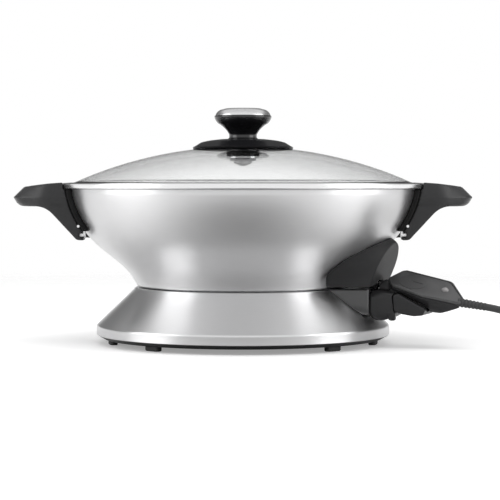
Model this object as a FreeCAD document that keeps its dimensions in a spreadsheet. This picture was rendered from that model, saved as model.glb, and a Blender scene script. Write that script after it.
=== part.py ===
import FreeCAD, Part
import math
import os
import Sketcher
from FreeCAD import Placement, Rotation, Vector

# Electric wok: a clad bowl on a conical base, a glass lid, and a plug-in control probe.
# Millimetres, +Z up, origin on the table under the middle of the bowl, front towards -Y.

driving = {
    # glass lid and its steel band
    "domeRadius": 428.0, "domeEdge": 177.0, "domeEdgeHeight": 164.3, "glassWall": 4.0,
    "glassRim": 184.5, "rimTop": 163.5, "rimUnder": 159.9, "glassHole": 5.2,
    "bandRadius": 187.5, "bandTop": 164.5, "bandUnder": 158.9, "bandSheet": 0.7, "sealSheet": 0.3,
    "skirtRadius": 175.0, "skirtUnder": 152.5,
    # lid knob
    "discRadius": 51.8, "discUnder": 199.6, "discTop": 210.2, "neckRadius": 14.4, "gripRadius": 29.3,
    "gripTop": 233.6, "capRadius": 27.6, "capTop": 241.6, "bossRadius": 17.1, "bossUnder": 192.1,
    "washerSheet": 2.0, "lockWasher": 2.6, "nutRadius": 9.6, "nutUnder": 184.3, "screwTip": 182.2,
    "knobScrew": 4.0,
    # bowl: outer profile of two arcs and a straight flare
    "bowlUnder": 58.6, "lipRadius": 181.0, "lipTop": 158.8, "flareAngle": 51.3, "flareRadius": 145.9,
    "flareHeight": 97.3, "flareLength": 22.8, "bellyArc": 100.0, "skirtArc": 67.0, "shellSheet": 1.2,
    "linerGap": 0.3, "linerWall": 3.6, "hearthHeight": 71.0, "hearthRadius": 58.0,
    "coverRadius": 104.2, "coverSheet": 1.0, "coverUnder": 58.8,
    # heating element, terminals and temperature sensor block
    "elementRing": 62.0, "elementTube": 3.4, "elementHeight": 63.8, "terminalSpread": 16.0,
    "terminalReach": 94.0, "blockInner": 86.0, "blockOuter": 110.0, "blockHalf": 17.8,
    "blockUnder": 35.0, "blockTop": 56.0, "pinRadius": 2.5, "pinSpread": 9.5, "pinHeight": 44.0,
    "pinEnd": 131.0, "earthRadius": 2.0, "earthHeight": 38.5, "rodRadius": 3.0, "rodHeight": 51.6,
    "rodTip": 30.0, "sensorInner": 22.0, "sensorHalf": 6.5,
    # base
    "coneTop": 57.5, "coneTopRadius": 109.4, "coneFootRadius": 150.2, "coneFootHeight": 19.6,
    "footBandRadius": 151.2, "footBandTop": 16.8, "footBandUnder": 9.0, "coneSheet": 1.2,
    "coneLip": 99.0, "plateUnder": 5.0, "plateSheet": 2.5, "plateEdge": 143.6, "plateWell": 60.0,
    "panFloor": 22.0, "panWall": 2.0, "panRadius": 87.0, "hubRadius": 13.0, "hubTop": 46.0,
    "hubUnder": 13.4, "studRadius": 5.0, "studHeadHalf": 12.0, "studHeadUnder": 5.2,
    "studHeadTop": 8.7, "leverUnder": 9.0, "leverTop": 13.0, "leverHub": 17.0, "leverReach": 54.0,
    "leverHalf": 7.0, "footCircle": 136.5, "footReach": 7.4, "footBreadth": 18.5, "panPostCircle": 74.0,
    # probe side: shield on the bowl, cowl on the base
    "probeAzimuth": -20.0, "socketHalf": 22.0, "socketUnder": 31.0, "cowlTop": 58.9,
    "cowlEnd": 142.0, "cowlWideHalf": 37.5, "cowlEndHalf": 24.3, "channelHalf": 20.4,
    "shieldUnder": 61.6, "shieldReach": 145.7, "shieldLean": 22.4, "shieldTop": 107.0,
    "shieldHalf": 35.5, "shieldWall": 2.6, "skirtApex": 87.3, "skirtHalf": 60.0, "archGap": 1.9,
    "guardHalf": 19.2,
    "guardTop": 65.4, "guardSheet": 1.0, "guardEnd": 146.6,
    # control probe
    "noseInner": 111.0, "noseEnd": 142.3, "noseCorner": 7.0, "noseHalf": 17.2, "noseUnder": 32.6,
    "noseTop": 56.2, "blockWide": 21.4, "blockLow": 30.0, "blockHigh": 57.0, "blockEnd": 167.5,
    "collarNear": -6.0, "collarAcross": 22.0,
    "lugStart": 161.0, "lugSide": -19.6, "lugUnder": 27.4, "lugLength": 7.0, "lugWide": 5.0, "lugTall": 9.0,
    "headScrew": 2.6, "headScrewTall": 2.0,
    "headReach": 196.0, "headHeight": 62.6, "headPitch": 13.0, "headRoll": 25.0,
    "headDeep": 17.0, "taperFrom": 19.3, "taperRise": 0.7, "faceSheet": 3.4, "wallSheet": 2.2,
    "dialRadius": 13.5, "dialAlong": -15.0,
    "lampAlong": 19.0, "lampRadius": 3.6, "triggerPivot": 170.5, "triggerPivotHeight": 44.5,
    "triggerHalf": 19.5, "coreHalf": 9.6, "coreUnder": 38.4, "coreEnd": 182.0,
    "sleeveLength": 19.0, "reliefStart": 230.0, "reliefHeight": 46.8, "reliefLength": 27.0,
    "reliefRadius": 4.6, "headFall": 0.17, "cordAside": -9.4, "cordFall": 8.1,
    # side handles
    "handleTip": 237.5, "handleHalf": 55.0, "gripInner": 219.0, "fingerInner": 196.0,
    "fingerHalf": 36.0, "armUnder": 140.4, "padGap": 5.0, "padHalf": 58.0, "padUnder": 116.2, "padTop": 158.0,
    "lidClear": 188.6,
    "legSpread": 48.0, "legBossHeight": 112.2, "legBossRadius": 3.1, "legBossEnd": 164.5,
    "legBossLength": 5.6,
    "bracketStrap": 1.8, "bracketHalf": 4.0, "bracketTop": 122.0,
    "crossPin": 1.3, "crossPinReach": 165.6, "crossPinHeight": 121.2,
    # mains cord
    "cordRadius": 3.5, "coilRadius": 36.0, "coilX": 352.0, "coilY": -73.0, "coilTurns": 4.25,
    "coilPitch": 7.1, "plugHalf": 12.4, "plugLength": 34.0, "plugHeight": 12.5,
}

doc = FreeCAD.newDocument("ElectricWok")
sheet = doc.addObject("Spreadsheet::Sheet", "Dims")
for row, (alias, length) in enumerate(driving.items(), start=1):
    sheet.set(f"A{row}", alias)
    sheet.set(f"B{row}", str(length))
    sheet.setAlias(f"B{row}", alias)
doc.recompute()


class Size:
    """A number that remembers the sheet expression it comes from."""

    def __init__(self, value, text):
        self.value = value
        self.text = text

    def __add__(self, other):
        return Size(self.value + plain(other), f"({self.text} + {spoken(other)})")

    def __sub__(self, other):
        return Size(self.value - plain(other), f"({self.text} - {spoken(other)})")

    def __rsub__(self, other):
        return Size(plain(other) - self.value, f"({spoken(other)} - {self.text})")

    def __mul__(self, other):
        return Size(self.value * plain(other), f"({self.text} * {spoken(other)})")

    def __truediv__(self, other):
        return Size(self.value / plain(other), f"({self.text} / {spoken(other)})")

    def __neg__(self):
        return Size(-self.value, f"(0 - {self.text})")

    __radd__ = __add__
    __rmul__ = __mul__


class Disc:
    """A full circle, used in place of an outline."""

    def __init__(self, x, y, radius):
        self.x = x
        self.y = y
        self.radius = radius


class Sheet:
    """Gives every alias of the sheet as a Size."""

    def __getattr__(self, alias):
        return Size(float(sheet.get(alias)), f"Dims.{alias}")


def plain(size):
    return size.value if isinstance(size, Size) else float(size)


def spoken(size):
    return size.text if isinstance(size, Size) else repr(float(size))


def root(size):
    return Size(math.sqrt(size.value), f"sqrt({size.text})")


def sine(angle):
    return Size(math.sin(math.radians(angle.value)), f"sin({angle.text})")


def cosine(angle):
    return Size(math.cos(math.radians(angle.value)), f"cos({angle.text})")


d = Sheet()
subparts = []


def keep(thing, label, placement=None):
    """Names a finished sub-part; its label becomes its file name."""
    thing.Label = label
    if placement is not None:
        thing.Placement = placement
    subparts.append(thing)
    return thing


def bind(thing, **sizes):
    for name, size in sizes.items():
        setattr(thing, name, plain(size))
        if isinstance(size, Size):
            thing.setExpression(name, size.text)
    return thing


# ---------------------------------------------------------------- sketches and features

def arcBetween(start, end, radius):
    """Minor arc; a positive radius bulges to the right of the way from start to end."""
    chord = end - start
    height = math.sqrt(radius * radius - chord.Length ** 2 / 4)
    left = Vector(-chord.y, chord.x, 0) / chord.Length
    centre = (start + end) / 2 + left * (height if radius > 0 else -height)
    first, last = (start, end) if radius > 0 else (end, start)
    angles = [math.atan2(p.y - centre.y, p.x - centre.x) for p in (first, last)]
    if angles[1] < angles[0]:
        angles[1] += 2 * math.pi
    return Part.ArcOfCircle(Part.Circle(centre, Vector(0, 0, 1), abs(radius)), *angles)


def pin(sketch, axis, geometry, end, size):
    """Fixes one coordinate of a corner, and binds it to the sheet."""
    if plain(size) == 0:
        line = -2 if axis == "X" else -1
        sketch.addConstraint(Sketcher.Constraint("PointOnObject", geometry, end, line))
        return
    index = sketch.addConstraint(
        Sketcher.Constraint("Distance" + axis, -1, 1, geometry, end, plain(size)))
    if isinstance(size, Size):
        sketch.setExpression(f"Constraints[{index}]", size.text)


def sketchOn(body, role, outlines, offset=0):
    """Sketch on an origin plane. Corners are (x, y) or (x, y, radius of the arc to the next)."""
    sketch = body.newObject("Sketcher::SketchObject", "Sketch")
    plane = next(o for o in body.Origin.OriginFeatures if getattr(o, "Role", "") == role)
    sketch.AttachmentSupport = [(plane, "")]
    sketch.MapMode = "FlatFace"
    sketch.AttachmentOffset = Placement(Vector(0, 0, plain(offset)), Rotation())
    if isinstance(offset, Size):
        sketch.setExpression("AttachmentOffset.Base.z", offset.text)
    for outline in outlines:
        if isinstance(outline, Disc):
            centre = Vector(plain(outline.x), plain(outline.y), 0)
            edge = sketch.addGeometry(Part.Circle(centre, Vector(0, 0, 1), plain(outline.radius)))
            bound = sketch.addConstraint(Sketcher.Constraint("Radius", edge, plain(outline.radius)))
            if isinstance(outline.radius, Size):
                sketch.setExpression(f"Constraints[{bound}]", outline.radius.text)
            pin(sketch, "X", edge, 3, outline.x)
            pin(sketch, "Y", edge, 3, outline.y)
            continue
        points = [Vector(plain(corner[0]), plain(corner[1]), 0) for corner in outline]
        edges = []
        for index, corner in enumerate(outline):
            start, end = points[index], points[(index + 1) % len(points)]
            if len(corner) == 3:
                radius = plain(corner[2])
                edge = sketch.addGeometry(arcBetween(start, end, radius))
                edges.append((edge, 1, 2) if radius > 0 else (edge, 2, 1))
                bound = sketch.addConstraint(Sketcher.Constraint("Radius", edge, abs(radius)))
                if isinstance(corner[2], Size):
                    size = corner[2] if radius > 0 else -corner[2]
                    sketch.setExpression(f"Constraints[{bound}]", size.text)
            else:
                edges.append((sketch.addGeometry(Part.LineSegment(start, end)), 1, 2))
        for index, corner in enumerate(outline):
            edge, first, _ = edges[index]
            previous, _, last = edges[index - 1]
            sketch.addConstraint(Sketcher.Constraint("Coincident", previous, last, edge, first))
            pin(sketch, "X", edge, first, corner[0])
            pin(sketch, "Y", edge, first, corner[1])
    return sketch


def newBody(label, placement=None):
    return keep(doc.addObject("PartDesign::Body", label), label, placement)


def spin(body, outline):
    """Revolves a (radius, height) outline about the body's own Z axis."""
    sketch = sketchOn(body, "XZ_Plane", [outline])
    feature = body.newObject("PartDesign::Revolution", "Revolution")
    feature.Profile = sketch
    feature.ReferenceAxis = (sketch, ["V_Axis"])
    feature.Angle = 360
    return feature


def spun(label, outline, placement=None):
    body = newBody(label, placement)
    spin(body, outline)
    return body


def pad(body, role, outlines, start, length):
    """Pads outlines from a plane at height start, along that plane's normal."""
    feature = body.newObject("PartDesign::Pad", "Pad")
    feature.Profile = sketchOn(body, role, outlines, start)
    bind(feature, Length=length)
    doc.recompute()
    return feature


def rectangle(x0, y0, x1, y1):
    return [(x0, y0), (x1, y0), (x1, y1), (x0, y1)]


def primitive(kind, name, place=None, **sizes):
    thing = bind(doc.addObject("Part::" + kind, name), **sizes)
    if place is not None:
        thing.Placement = place
    return thing


def joined(kind, name, members):
    thing = doc.addObject("Part::" + kind, name)
    if kind == "Compound":
        thing.Links = members
    elif kind == "Cut":
        thing.Base, thing.Tool = members
    else:
        thing.Shapes = members
    return thing


def at(x, y, z, rotation=Rotation()):
    return Placement(Vector(plain(x), plain(y), plain(z)), rotation)


def coded(label, shape):
    """A sub-part whose form needs lofts or sweeps made by code."""
    feature = doc.addObject("Part::Feature", label)
    feature.Shape = shape
    return keep(feature, label)


ALONG_X = Rotation(Vector(0, 1, 0), 90)
probeTurn = Placement(Vector(), Rotation(Vector(0, 0, 1), driving["probeAzimuth"]))


# ---------------------------------------------------------------- lid

def domeHeight(radius, drop=0):
    """Height of the dome's sphere, lowered along its radius by drop."""
    centre = d.domeEdgeHeight - root(d.domeRadius * d.domeRadius - d.domeEdge * d.domeEdge)
    ball = d.domeRadius - drop
    return centre + root(ball * ball - radius * radius)


def makeLid():
    inner = d.domeEdge - 3
    spun("lid_glass", [
        (d.glassHole, domeHeight(d.glassHole)), (d.glassHole, domeHeight(d.glassHole, d.glassWall),
                                                 d.glassWall - d.domeRadius),
        (inner, domeHeight(inner, d.glassWall)), (inner + 2, d.rimUnder), (d.glassRim, d.rimUnder),
        (d.glassRim, d.rimTop), (d.domeEdge + 1.2, d.rimTop),
        (d.domeEdge, d.domeEdgeHeight, d.domeRadius)])
    sealOut = d.glassRim + 0.8
    sealTop = d.rimTop + d.sealSheet
    sealUnder = d.rimUnder - d.sealSheet
    sealIn = d.domeEdge + 1.4
    spun("lid_seal", [
        (sealIn, sealUnder), (sealOut, sealUnder), (sealOut, sealTop), (sealIn, sealTop),
        (sealIn, d.rimTop), (d.glassRim, d.rimTop), (d.glassRim, d.rimUnder), (sealIn, d.rimUnder)])
    bend = (d.bandTop - d.bandUnder) / 2
    middle = d.bandUnder + bend
    turn = d.bandRadius - bend
    hollow = bend - d.bandSheet
    spun("lid_band", [
        (sealIn, d.bandTop - d.bandSheet), (turn, d.bandTop - d.bandSheet, -hollow),
        (turn + hollow, middle, -hollow), (turn, d.bandUnder + d.bandSheet),
        (d.skirtRadius - d.bandSheet, d.bandUnder + d.bandSheet),
        (d.skirtRadius - d.bandSheet, d.skirtUnder), (d.skirtRadius, d.skirtUnder),
        (d.skirtRadius, d.bandUnder), (turn, d.bandUnder, bend), (turn + bend, middle, bend),
        (turn, d.bandTop), (sealIn, d.bandTop)])


def makeKnob():
    glassTop = domeHeight(0)
    spun("knob_guard_disc", [
        (d.knobScrew + 0.4, glassTop + 1.6), (30, glassTop + 0.9, -420),
        (d.discRadius - 3.2, d.discUnder + 1.1), (d.discRadius - 2.4, d.discUnder + 0.3),
        (d.discRadius - 0.6, d.discUnder + 0.2, 0.9), (d.discRadius, d.discUnder + 1.4),
        (d.discRadius - 0.5, d.discUnder + 2.6), (43.5, d.discUnder + 6.8, 60),
        (30.5, d.discTop - 1.2, 110), (d.neckRadius + 1.6, d.discTop), (d.knobScrew + 0.4, d.discTop)])
    spun("knob_grip", [
        (d.knobScrew + 0.4, d.discTop), (d.neckRadius, d.discTop), (d.neckRadius, d.discTop + 3, -16),
        (19.6, 221.6, -24), (25.6, 226.0, 14), (d.gripRadius, 231.6), (d.gripRadius, d.gripTop + 0.6),
        (d.gripRadius - 1.0, d.gripTop + 0.6), (d.gripRadius - 1.2, d.gripTop - 0.6),
        (d.knobScrew + 0.4, d.gripTop - 0.6)])
    spun("knob_cap", [
        (0, d.gripTop - 0.6), (d.capRadius, d.gripTop - 0.6), (d.capRadius, d.gripTop + 0.6, 9),
        (20.5, d.capTop - 0.9, 12), (14.0, d.capTop), (0, d.capTop)])
    spun("knob_gasket", [
        (d.knobScrew + 0.4, glassTop), (22.0, domeHeight(22.0)), (22.0, glassTop + 1.1),
        (d.knobScrew + 0.4, glassTop + 1.6)])
    glassUnder = domeHeight(d.bossRadius, d.glassWall)
    spun("lid_boss", [
        (d.knobScrew + 0.4, d.bossUnder), (d.bossRadius - 1, d.bossUnder), (d.bossRadius, d.bossUnder + 1),
        (d.bossRadius, glassUnder, -d.domeRadius), (d.knobScrew + 0.4, glassUnder + 0.3)])
    washerUnder = d.bossUnder - d.washerSheet
    lockUnder = washerUnder - d.lockWasher
    for label, outer, under, top in (("lid_washer", d.bossRadius - 0.4, washerUnder, d.bossUnder),
                                     ("lid_lock_washer", d.bossRadius - 3.6, lockUnder, washerUnder)):
        spun(label, rectangle(d.knobScrew + 0.4, under, outer, top))
    spun("knob_screw", [
        (0, d.screwTip), (3.0, d.screwTip + 0.4), (6.2, d.nutUnder - 0.4), (d.nutRadius, d.nutUnder + 1),
        (d.nutRadius, lockUnder), (d.knobScrew, lockUnder), (d.knobScrew, d.gripTop - 0.8),
        (0, d.gripTop - 0.8)])


# ---------------------------------------------------------------- bowl

def bowlWall(inset, top):
    """Right-hand side of the bowl, bottom to top, moved inwards by inset; ends at the lip."""
    flareIn = cosine(d.flareAngle)
    flareOut = sine(d.flareAngle)
    inwardX, inwardZ = -flareIn, flareOut
    lowX = d.flareRadius - d.flareLength * flareOut
    lowZ = d.flareHeight - d.flareLength * flareIn
    skirtX = lowX - d.skirtArc * inwardX
    skirtZ = lowZ - d.skirtArc * inwardZ
    skirt = d.skirtArc + inset
    heelZ = d.bowlUnder + 2.2 + inset * 0.6
    bellyX = d.flareRadius + d.bellyArc * inwardX
    bellyZ = d.flareHeight + d.bellyArc * inwardZ
    belly = d.bellyArc - inset
    lipX = d.lipRadius - inset
    shoulder = lipX - 0.25
    shoulderZ = bellyZ - root(belly * belly - (shoulder - bellyX) * (shoulder - bellyX))
    return [
        (skirtX - root(skirt * skirt - (heelZ - skirtZ) * (heelZ - skirtZ)), heelZ, -skirt),
        (lowX + inset * inwardX, lowZ + inset * inwardZ),
        (d.flareRadius + inset * inwardX, d.flareHeight + inset * inwardZ, belly),
        (shoulder, shoulderZ), (lipX, shoulderZ + 1.4), (lipX, top)]


def cookingSide(inset, top, bottom):
    """Belly wall from the flat hearth up to the rim, inset from the outer profile."""
    wall = bowlWall(inset, top)[2:]
    start = wall[0]
    reach = start[0] - d.hearthRadius
    rise = start[1] - bottom
    arc = (reach * reach + rise * rise) / (rise * 2)
    return [(0, bottom), (d.hearthRadius, bottom, arc)] + wall


def makeBowl():
    lipTop = d.lipTop - 0.6
    outer = bowlWall(0, lipTop)
    inner = bowlWall(d.shellSheet, lipTop)
    hem = d.coverRadius + 0.4
    spun("bowl_shell", [(hem, d.bowlUnder), (outer[0][0] - 2.2, d.bowlUnder, 2.6)] + outer
         + [(d.lipRadius - 0.6, d.lipTop), (d.lipRadius - d.shellSheet, d.lipTop)]
         + reversedOutline(inner)
         + [(inner[0][0] - 1.2, d.bowlUnder + d.shellSheet), (hem, d.bowlUnder + d.shellSheet)])
    under = d.shellSheet + d.linerGap
    outside = cookingSide(under, d.lipTop, d.hearthHeight - d.linerWall)
    inside = cookingSide(under + d.linerWall, d.lipTop - 0.8, d.hearthHeight)
    lip = [(inside[-1][0] + 0.8, d.lipTop)]
    spun("bowl_liner", outside + lip + reversedOutline(inside))
    cover = newBody("bowl_bottom_cover")
    spin(cover, rectangle(0, d.coverUnder, d.coverRadius, d.coverUnder + d.coverSheet))


def reversedOutline(outline):
    """The same outline walked backwards, so each arc changes hands."""
    turned = []
    for index in range(len(outline) - 1, -1, -1):
        corner = outline[index]
        arcs = outline[index - 1][2:] if index else ()
        turned.append((corner[0], corner[1]) + tuple(-1 * radius for radius in arcs))
    return turned


def makeHeater():
    spread = math.degrees(math.asin(driving["terminalSpread"] / driving["elementRing"]))
    ring = primitive("Torus", "element_ring", at(0, 0, d.elementHeight, Rotation(Vector(0, 0, 1), spread)),
                     Radius1=d.elementRing, Radius2=d.elementTube, Angle3=360 - 2 * spread)
    members = [ring]
    start = driving["elementRing"] * math.cos(math.radians(spread))
    for side in (-1, 1):
        y = side * driving["terminalSpread"]
        members += [
            primitive("Sphere", "element_bend", at(start, y, d.elementHeight), Radius=d.elementTube),
            primitive("Cylinder", "element_leg", at(start, y, d.elementHeight, ALONG_X),
                      Radius=d.elementTube, Height=d.terminalReach - start),
            primitive("Sphere", "element_elbow", at(d.terminalReach, y, d.elementHeight),
                      Radius=d.elementTube),
            primitive("Cylinder", "element_cold_end", at(d.terminalReach, y, d.blockTop),
                      Radius=d.elementTube, Height=d.elementHeight - d.blockTop)]
    keep(joined("MultiFuse", "heating_element", members), "heating_element", probeTurn)
    holes = [primitive("Cylinder", "cold_end_hole",
                       probeTurn.multiply(at(d.terminalReach, side * driving["terminalSpread"], 50)),
                       Radius=d.elementTube + 0.4, Height=20) for side in (-1, 1)]
    cover = subparts.pop(next(i for i, s in enumerate(subparts) if s.Label == "bowl_bottom_cover"))
    cover.Label = "cover_blank"
    keep(joined("Cut", "bowl_cover", [cover, joined("Compound", "cover_holes", holes)]), "bowl_bottom_cover")

    block = newBody("terminal_block", probeTurn)
    half = d.blockHalf
    pad(block, "XY_Plane", [rectangle(d.blockInner, -half, d.blockOuter, half)], d.blockUnder,
        d.blockTop - d.blockUnder)
    bore(block, d.rodHeight, d.rodRadius + 0.5, d.blockInner - 1, d.blockOuter + 1)

    sensor = newBody("sensor_block", probeTurn)
    pad(sensor, "XY_Plane", [rectangle(d.sensorInner, -d.sensorHalf, d.blockInner, d.sensorHalf)],
        d.rodHeight - 5, d.coverUnder - d.rodHeight + 5)
    bore(sensor, d.rodHeight, d.rodRadius + 0.5, d.sensorInner + 4, d.blockInner + 1)

    pins = []
    for side in (-1, 1):
        place = at(d.blockOuter, side * driving["pinSpread"], d.pinHeight, ALONG_X)
        pins.append(primitive("Cylinder", "live_pin", place, Radius=d.pinRadius,
                              Height=d.pinEnd - d.blockOuter))
    pins.append(primitive("Cylinder", "earth_pin", at(d.blockOuter, 0, d.earthHeight, ALONG_X),
                          Radius=d.earthRadius, Height=d.pinEnd - d.blockOuter))
    keep(joined("Compound", "terminal_pins", pins), "terminal_pins", probeTurn)


def bore(body, height, radius, start, end, y=0):
    """Round hole along the body's X axis, from x = start to x = end."""
    doc.recompute()
    before = body.Shape.Volume
    feature = body.newObject("PartDesign::Pocket", "Bore")
    feature.Profile = sketchOn(body, "YZ_Plane", [Disc(y, height, radius)], start)
    bind(feature, Length=end - start)
    feature.Reversed = True
    doc.recompute()
    assert body.Shape.Volume < before - 0.5, "nothing bored from " + body.Label


# ---------------------------------------------------------------- base

def coneOutline():
    return [(d.footBandRadius, d.footBandUnder), (d.footBandRadius, d.footBandTop, 3.2),
            (d.coneFootRadius, d.coneFootHeight), (d.coneTopRadius + 3.4, d.coneTop - 2.2, 4.6),
            (d.coneTopRadius, d.coneTop)]


def makeBase():
    shell = newBody("base_shell")
    sheetIn = d.coneSheet
    spin(shell, coneOutline() + [
        (d.coneLip, d.coneTop), (d.coneLip, d.coneTop - sheetIn),
        (d.coneTopRadius - 0.4, d.coneTop - sheetIn), (d.coneTopRadius + 2.4, d.coneTop - sheetIn - 2.0),
        (d.coneFootRadius - sheetIn, d.coneFootHeight - 0.6), (d.footBandRadius - sheetIn, d.footBandTop),
        (d.footBandRadius - sheetIn, d.footBandUnder)])
    notch = Rotation(Vector(0, 0, 1), driving["probeAzimuth"])
    cutNotch(shell, "base_shell", d.coneLip - 5, d.footBandRadius + 5, d.socketHalf, d.socketUnder, notch)

    wall = d.panWall
    floorTop = d.panFloor + wall
    pan = newBody("base_pan")
    spin(pan, [
        (d.studRadius + 1.5, d.hubUnder), (d.hubRadius, d.hubUnder), (d.hubRadius, d.panFloor),
        (d.panRadius, d.panFloor), (d.panRadius + 3, d.coneTop - 2.7), (d.coneLip + 5, d.coneTop - 2.7),
        (d.coneLip + 5, d.coneTop - d.coneSheet), (d.coneLip - 3, d.coneTop - d.coneSheet),
        (d.coneLip - 3, d.coverUnder), (d.coneLip - 6.5, d.coverUnder), (d.coneLip - 6.5, d.coneTop - 1.3),
        (d.panRadius + 1, d.coneTop - 1.3), (d.panRadius - 2, floorTop), (d.hubRadius, floorTop),
        (d.hubRadius, d.hubTop), (d.studRadius + 1.5, d.hubTop)])
    posts = pad(pan, "XY_Plane", [Disc(d.panPostCircle, 0, 4.5)], d.plateUnder + d.plateSheet,
                d.panFloor - d.plateUnder - d.plateSheet)
    around(pan, posts, 4)
    cutNotch(pan, "base_pan", d.panRadius - 8, d.blockOuter + 4, d.socketHalf + 0.5, d.socketUnder + 1.4,
             notch)

    spun("bottom_plate", [
        (d.plateWell, d.plateUnder), (d.plateEdge, d.plateUnder), (d.footBandRadius - 0.4, d.footBandUnder),
        (d.footBandRadius - 1.8, d.footBandUnder), (d.footBandRadius - 1.8, d.footBandUnder + 5),
        (d.footBandRadius - 3.8, d.footBandUnder + 5), (d.footBandRadius - 3.8, d.footBandUnder + 0.2),
        (d.plateEdge - 2, d.plateUnder + d.plateSheet), (d.plateWell, d.plateUnder + d.plateSheet)])

    pads = []
    reach, breadth = driving["footReach"] / 2, driving["footBreadth"] / 2
    for azimuth in (40, 76, 104, 140, -40, -76, -104, -140):
        outline = roundedWire([Vector(driving["footCircle"] + x, y, 0) for x, y in
                               ((-reach, -breadth), (reach, -breadth), (reach, breadth), (-reach, breadth))],
                              reach * 0.85)
        foot = prism(outline, Vector(0, 0, driving["plateUnder"]))
        foot.Placement = Placement(Vector(), Rotation(Vector(0, 0, 1), azimuth - 90))
        pads.append(foot)
    coded("foot_pads", Part.makeCompound(pads))

    screws = []
    for quarter in range(4):
        angle = math.radians(90 * quarter)
        place = at(driving["panPostCircle"] * math.cos(angle), driving["panPostCircle"] * math.sin(angle),
                   d.plateUnder - 1.4)
        screws.append(primitive("Cylinder", "plate_screw", place, Radius=3.4, Height=1.4))
    keep(joined("Compound", "plate_screws", screws), "plate_screws")


def around(body, feature, count):
    pattern = body.newObject("PartDesign::PolarPattern", "Pattern")
    pattern.Originals = [feature]
    axis = next(o for o in body.Origin.OriginFeatures if getattr(o, "Role", "") == "Z_Axis")
    pattern.Axis = (axis, [""])
    pattern.Angle = 360
    pattern.Occurrences = count
    body.Tip = pattern


def cutNotch(body, label, inner, outer, half, under, turn):
    """Opens a straight channel at the probe's azimuth, upwards from its floor."""
    index = next(i for i, s in enumerate(subparts) if s is body)
    subparts.pop(index)
    body.Label = label + "_blank"
    box = primitive("Box", label + "_channel", Placement(Vector(), turn).multiply(at(inner, -half, under)),
                    Length=outer - inner, Width=half * 2, Height=40)
    keep(joined("Cut", label, [body, box]), label)


def makeLatch():
    stud = newBody("bowl_stud")
    spin(stud, [(0, d.studHeadUnder), (d.studRadius, d.studHeadUnder), (d.studRadius, d.coverUnder - 2),
                (12, d.coverUnder - 2), (12, d.coverUnder), (0, d.coverUnder)])
    doc.recompute()
    pad(stud, "XY_Plane", [rectangle(-d.studHeadHalf, -3, d.studHeadHalf, 3)], d.studHeadUnder,
        d.studHeadTop - d.studHeadUnder)

    lever = newBody("base_release_lever")
    thick = d.leverTop - d.leverUnder
    pad(lever, "XY_Plane", [Disc(0, 0, d.leverHub)], d.leverUnder, thick)
    pad(lever, "XY_Plane", [rectangle(10, -d.leverHalf, d.leverReach, d.leverHalf)], d.leverUnder, thick)
    pad(lever, "XY_Plane", [rectangle(d.leverReach - 4, -d.leverHalf, d.leverReach, d.leverHalf)],
        d.plateUnder + 0.6, d.leverUnder - d.plateUnder)
    throughHole(lever, Disc(0, 0, d.studRadius + 0.4))
    throughHole(lever, rectangle(-3.5, -d.studHeadHalf - 0.6, 3.5, d.studHeadHalf + 0.6))


def throughHole(body, outline):
    """Cuts an outline straight through, along Z."""
    doc.recompute()
    before = body.Shape.Volume
    feature = body.newObject("PartDesign::Pocket", "Through")
    feature.Profile = sketchOn(body, "XY_Plane", [outline])
    feature.Type = "ThroughAll"
    feature.Reversed = True
    doc.recompute()
    assert body.Shape.Volume < before - 0.5, "nothing cut through " + body.Label


# ---------------------------------------------------------------- forms made by code

def roundedWire(corners, radii):
    """Closed wire in a plane: straight runs joined by tangent arcs at each corner."""
    count = len(corners)
    radii = radii if isinstance(radii, (list, tuple)) else [radii] * count
    pieces = []
    for index, corner in enumerate(corners):
        before, after = corners[index - 1], corners[(index + 1) % count]
        toward, away = (before - corner).normalize(), (after - corner).normalize()
        half = toward.getAngle(away) / 2
        back = radii[index] / math.tan(half)
        bisector = (toward + away).normalize()
        middle = corner + bisector * (radii[index] / math.sin(half) - radii[index])
        pieces.append((corner + toward * back, middle, corner + away * back))
    edges = []
    for index, (first, middle, last) in enumerate(pieces):
        edges.append(Part.Arc(first, middle, last).toShape())
        following = pieces[(index + 1) % count][0]
        edges.append(Part.LineSegment(last, following).toShape())
    return Part.Wire(edges)


def prism(wire, along):
    return Part.Face(wire).extrude(along)


def bowlSolid(clearance, top=200.0):
    """Everything inside the bowl's outer face, grown by clearance."""
    wall = bowlWall(Size(-clearance, repr(-clearance)), d.lipTop)
    points = [Vector(plain(c[0]), 0, plain(c[1])) for c in wall]
    edges = [Part.LineSegment(Vector(0, 0, points[0].z), points[0]).toShape()]
    for index in range(len(points) - 1):
        if len(wall[index]) == 3:
            flat = arcBetween(Vector(points[index].x, points[index].z, 0),
                              Vector(points[index + 1].x, points[index + 1].z, 0), plain(wall[index][2]))
            middle = flat.value((flat.FirstParameter + flat.LastParameter) / 2)
            edges.append(Part.Arc(points[index], Vector(middle.x, 0, middle.y), points[index + 1]).toShape())
        else:
            edges.append(Part.LineSegment(points[index], points[index + 1]).toShape())
    crown = Vector(points[-1].x, 0, top)
    edges.append(Part.LineSegment(points[-1], crown).toShape())
    edges.append(Part.LineSegment(crown, Vector(0, 0, top)).toShape())
    edges.append(Part.LineSegment(Vector(0, 0, top), Vector(0, 0, points[0].z)).toShape())
    return Part.Face(Part.Wire(edges)).revolve(Vector(), Vector(0, 0, 1), 360)


def coneSolid(clearance):
    """The base's outer form, grown by clearance, as one cone on a cylinder."""
    foot = driving["coneFootRadius"] + clearance * 1.4
    rim = driving["coneTopRadius"] + 4.8 + clearance * 1.4
    footHeight = driving["coneFootHeight"]
    tall = 40.0
    slope = (foot - rim) / (driving["coneTop"] - 3.6 - footHeight)
    cone = Part.makeCone(foot, foot - slope * tall, tall, Vector(0, 0, footHeight))
    return cone.fuse(Part.makeCylinder(driving["footBandRadius"] + clearance, footHeight))


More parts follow.
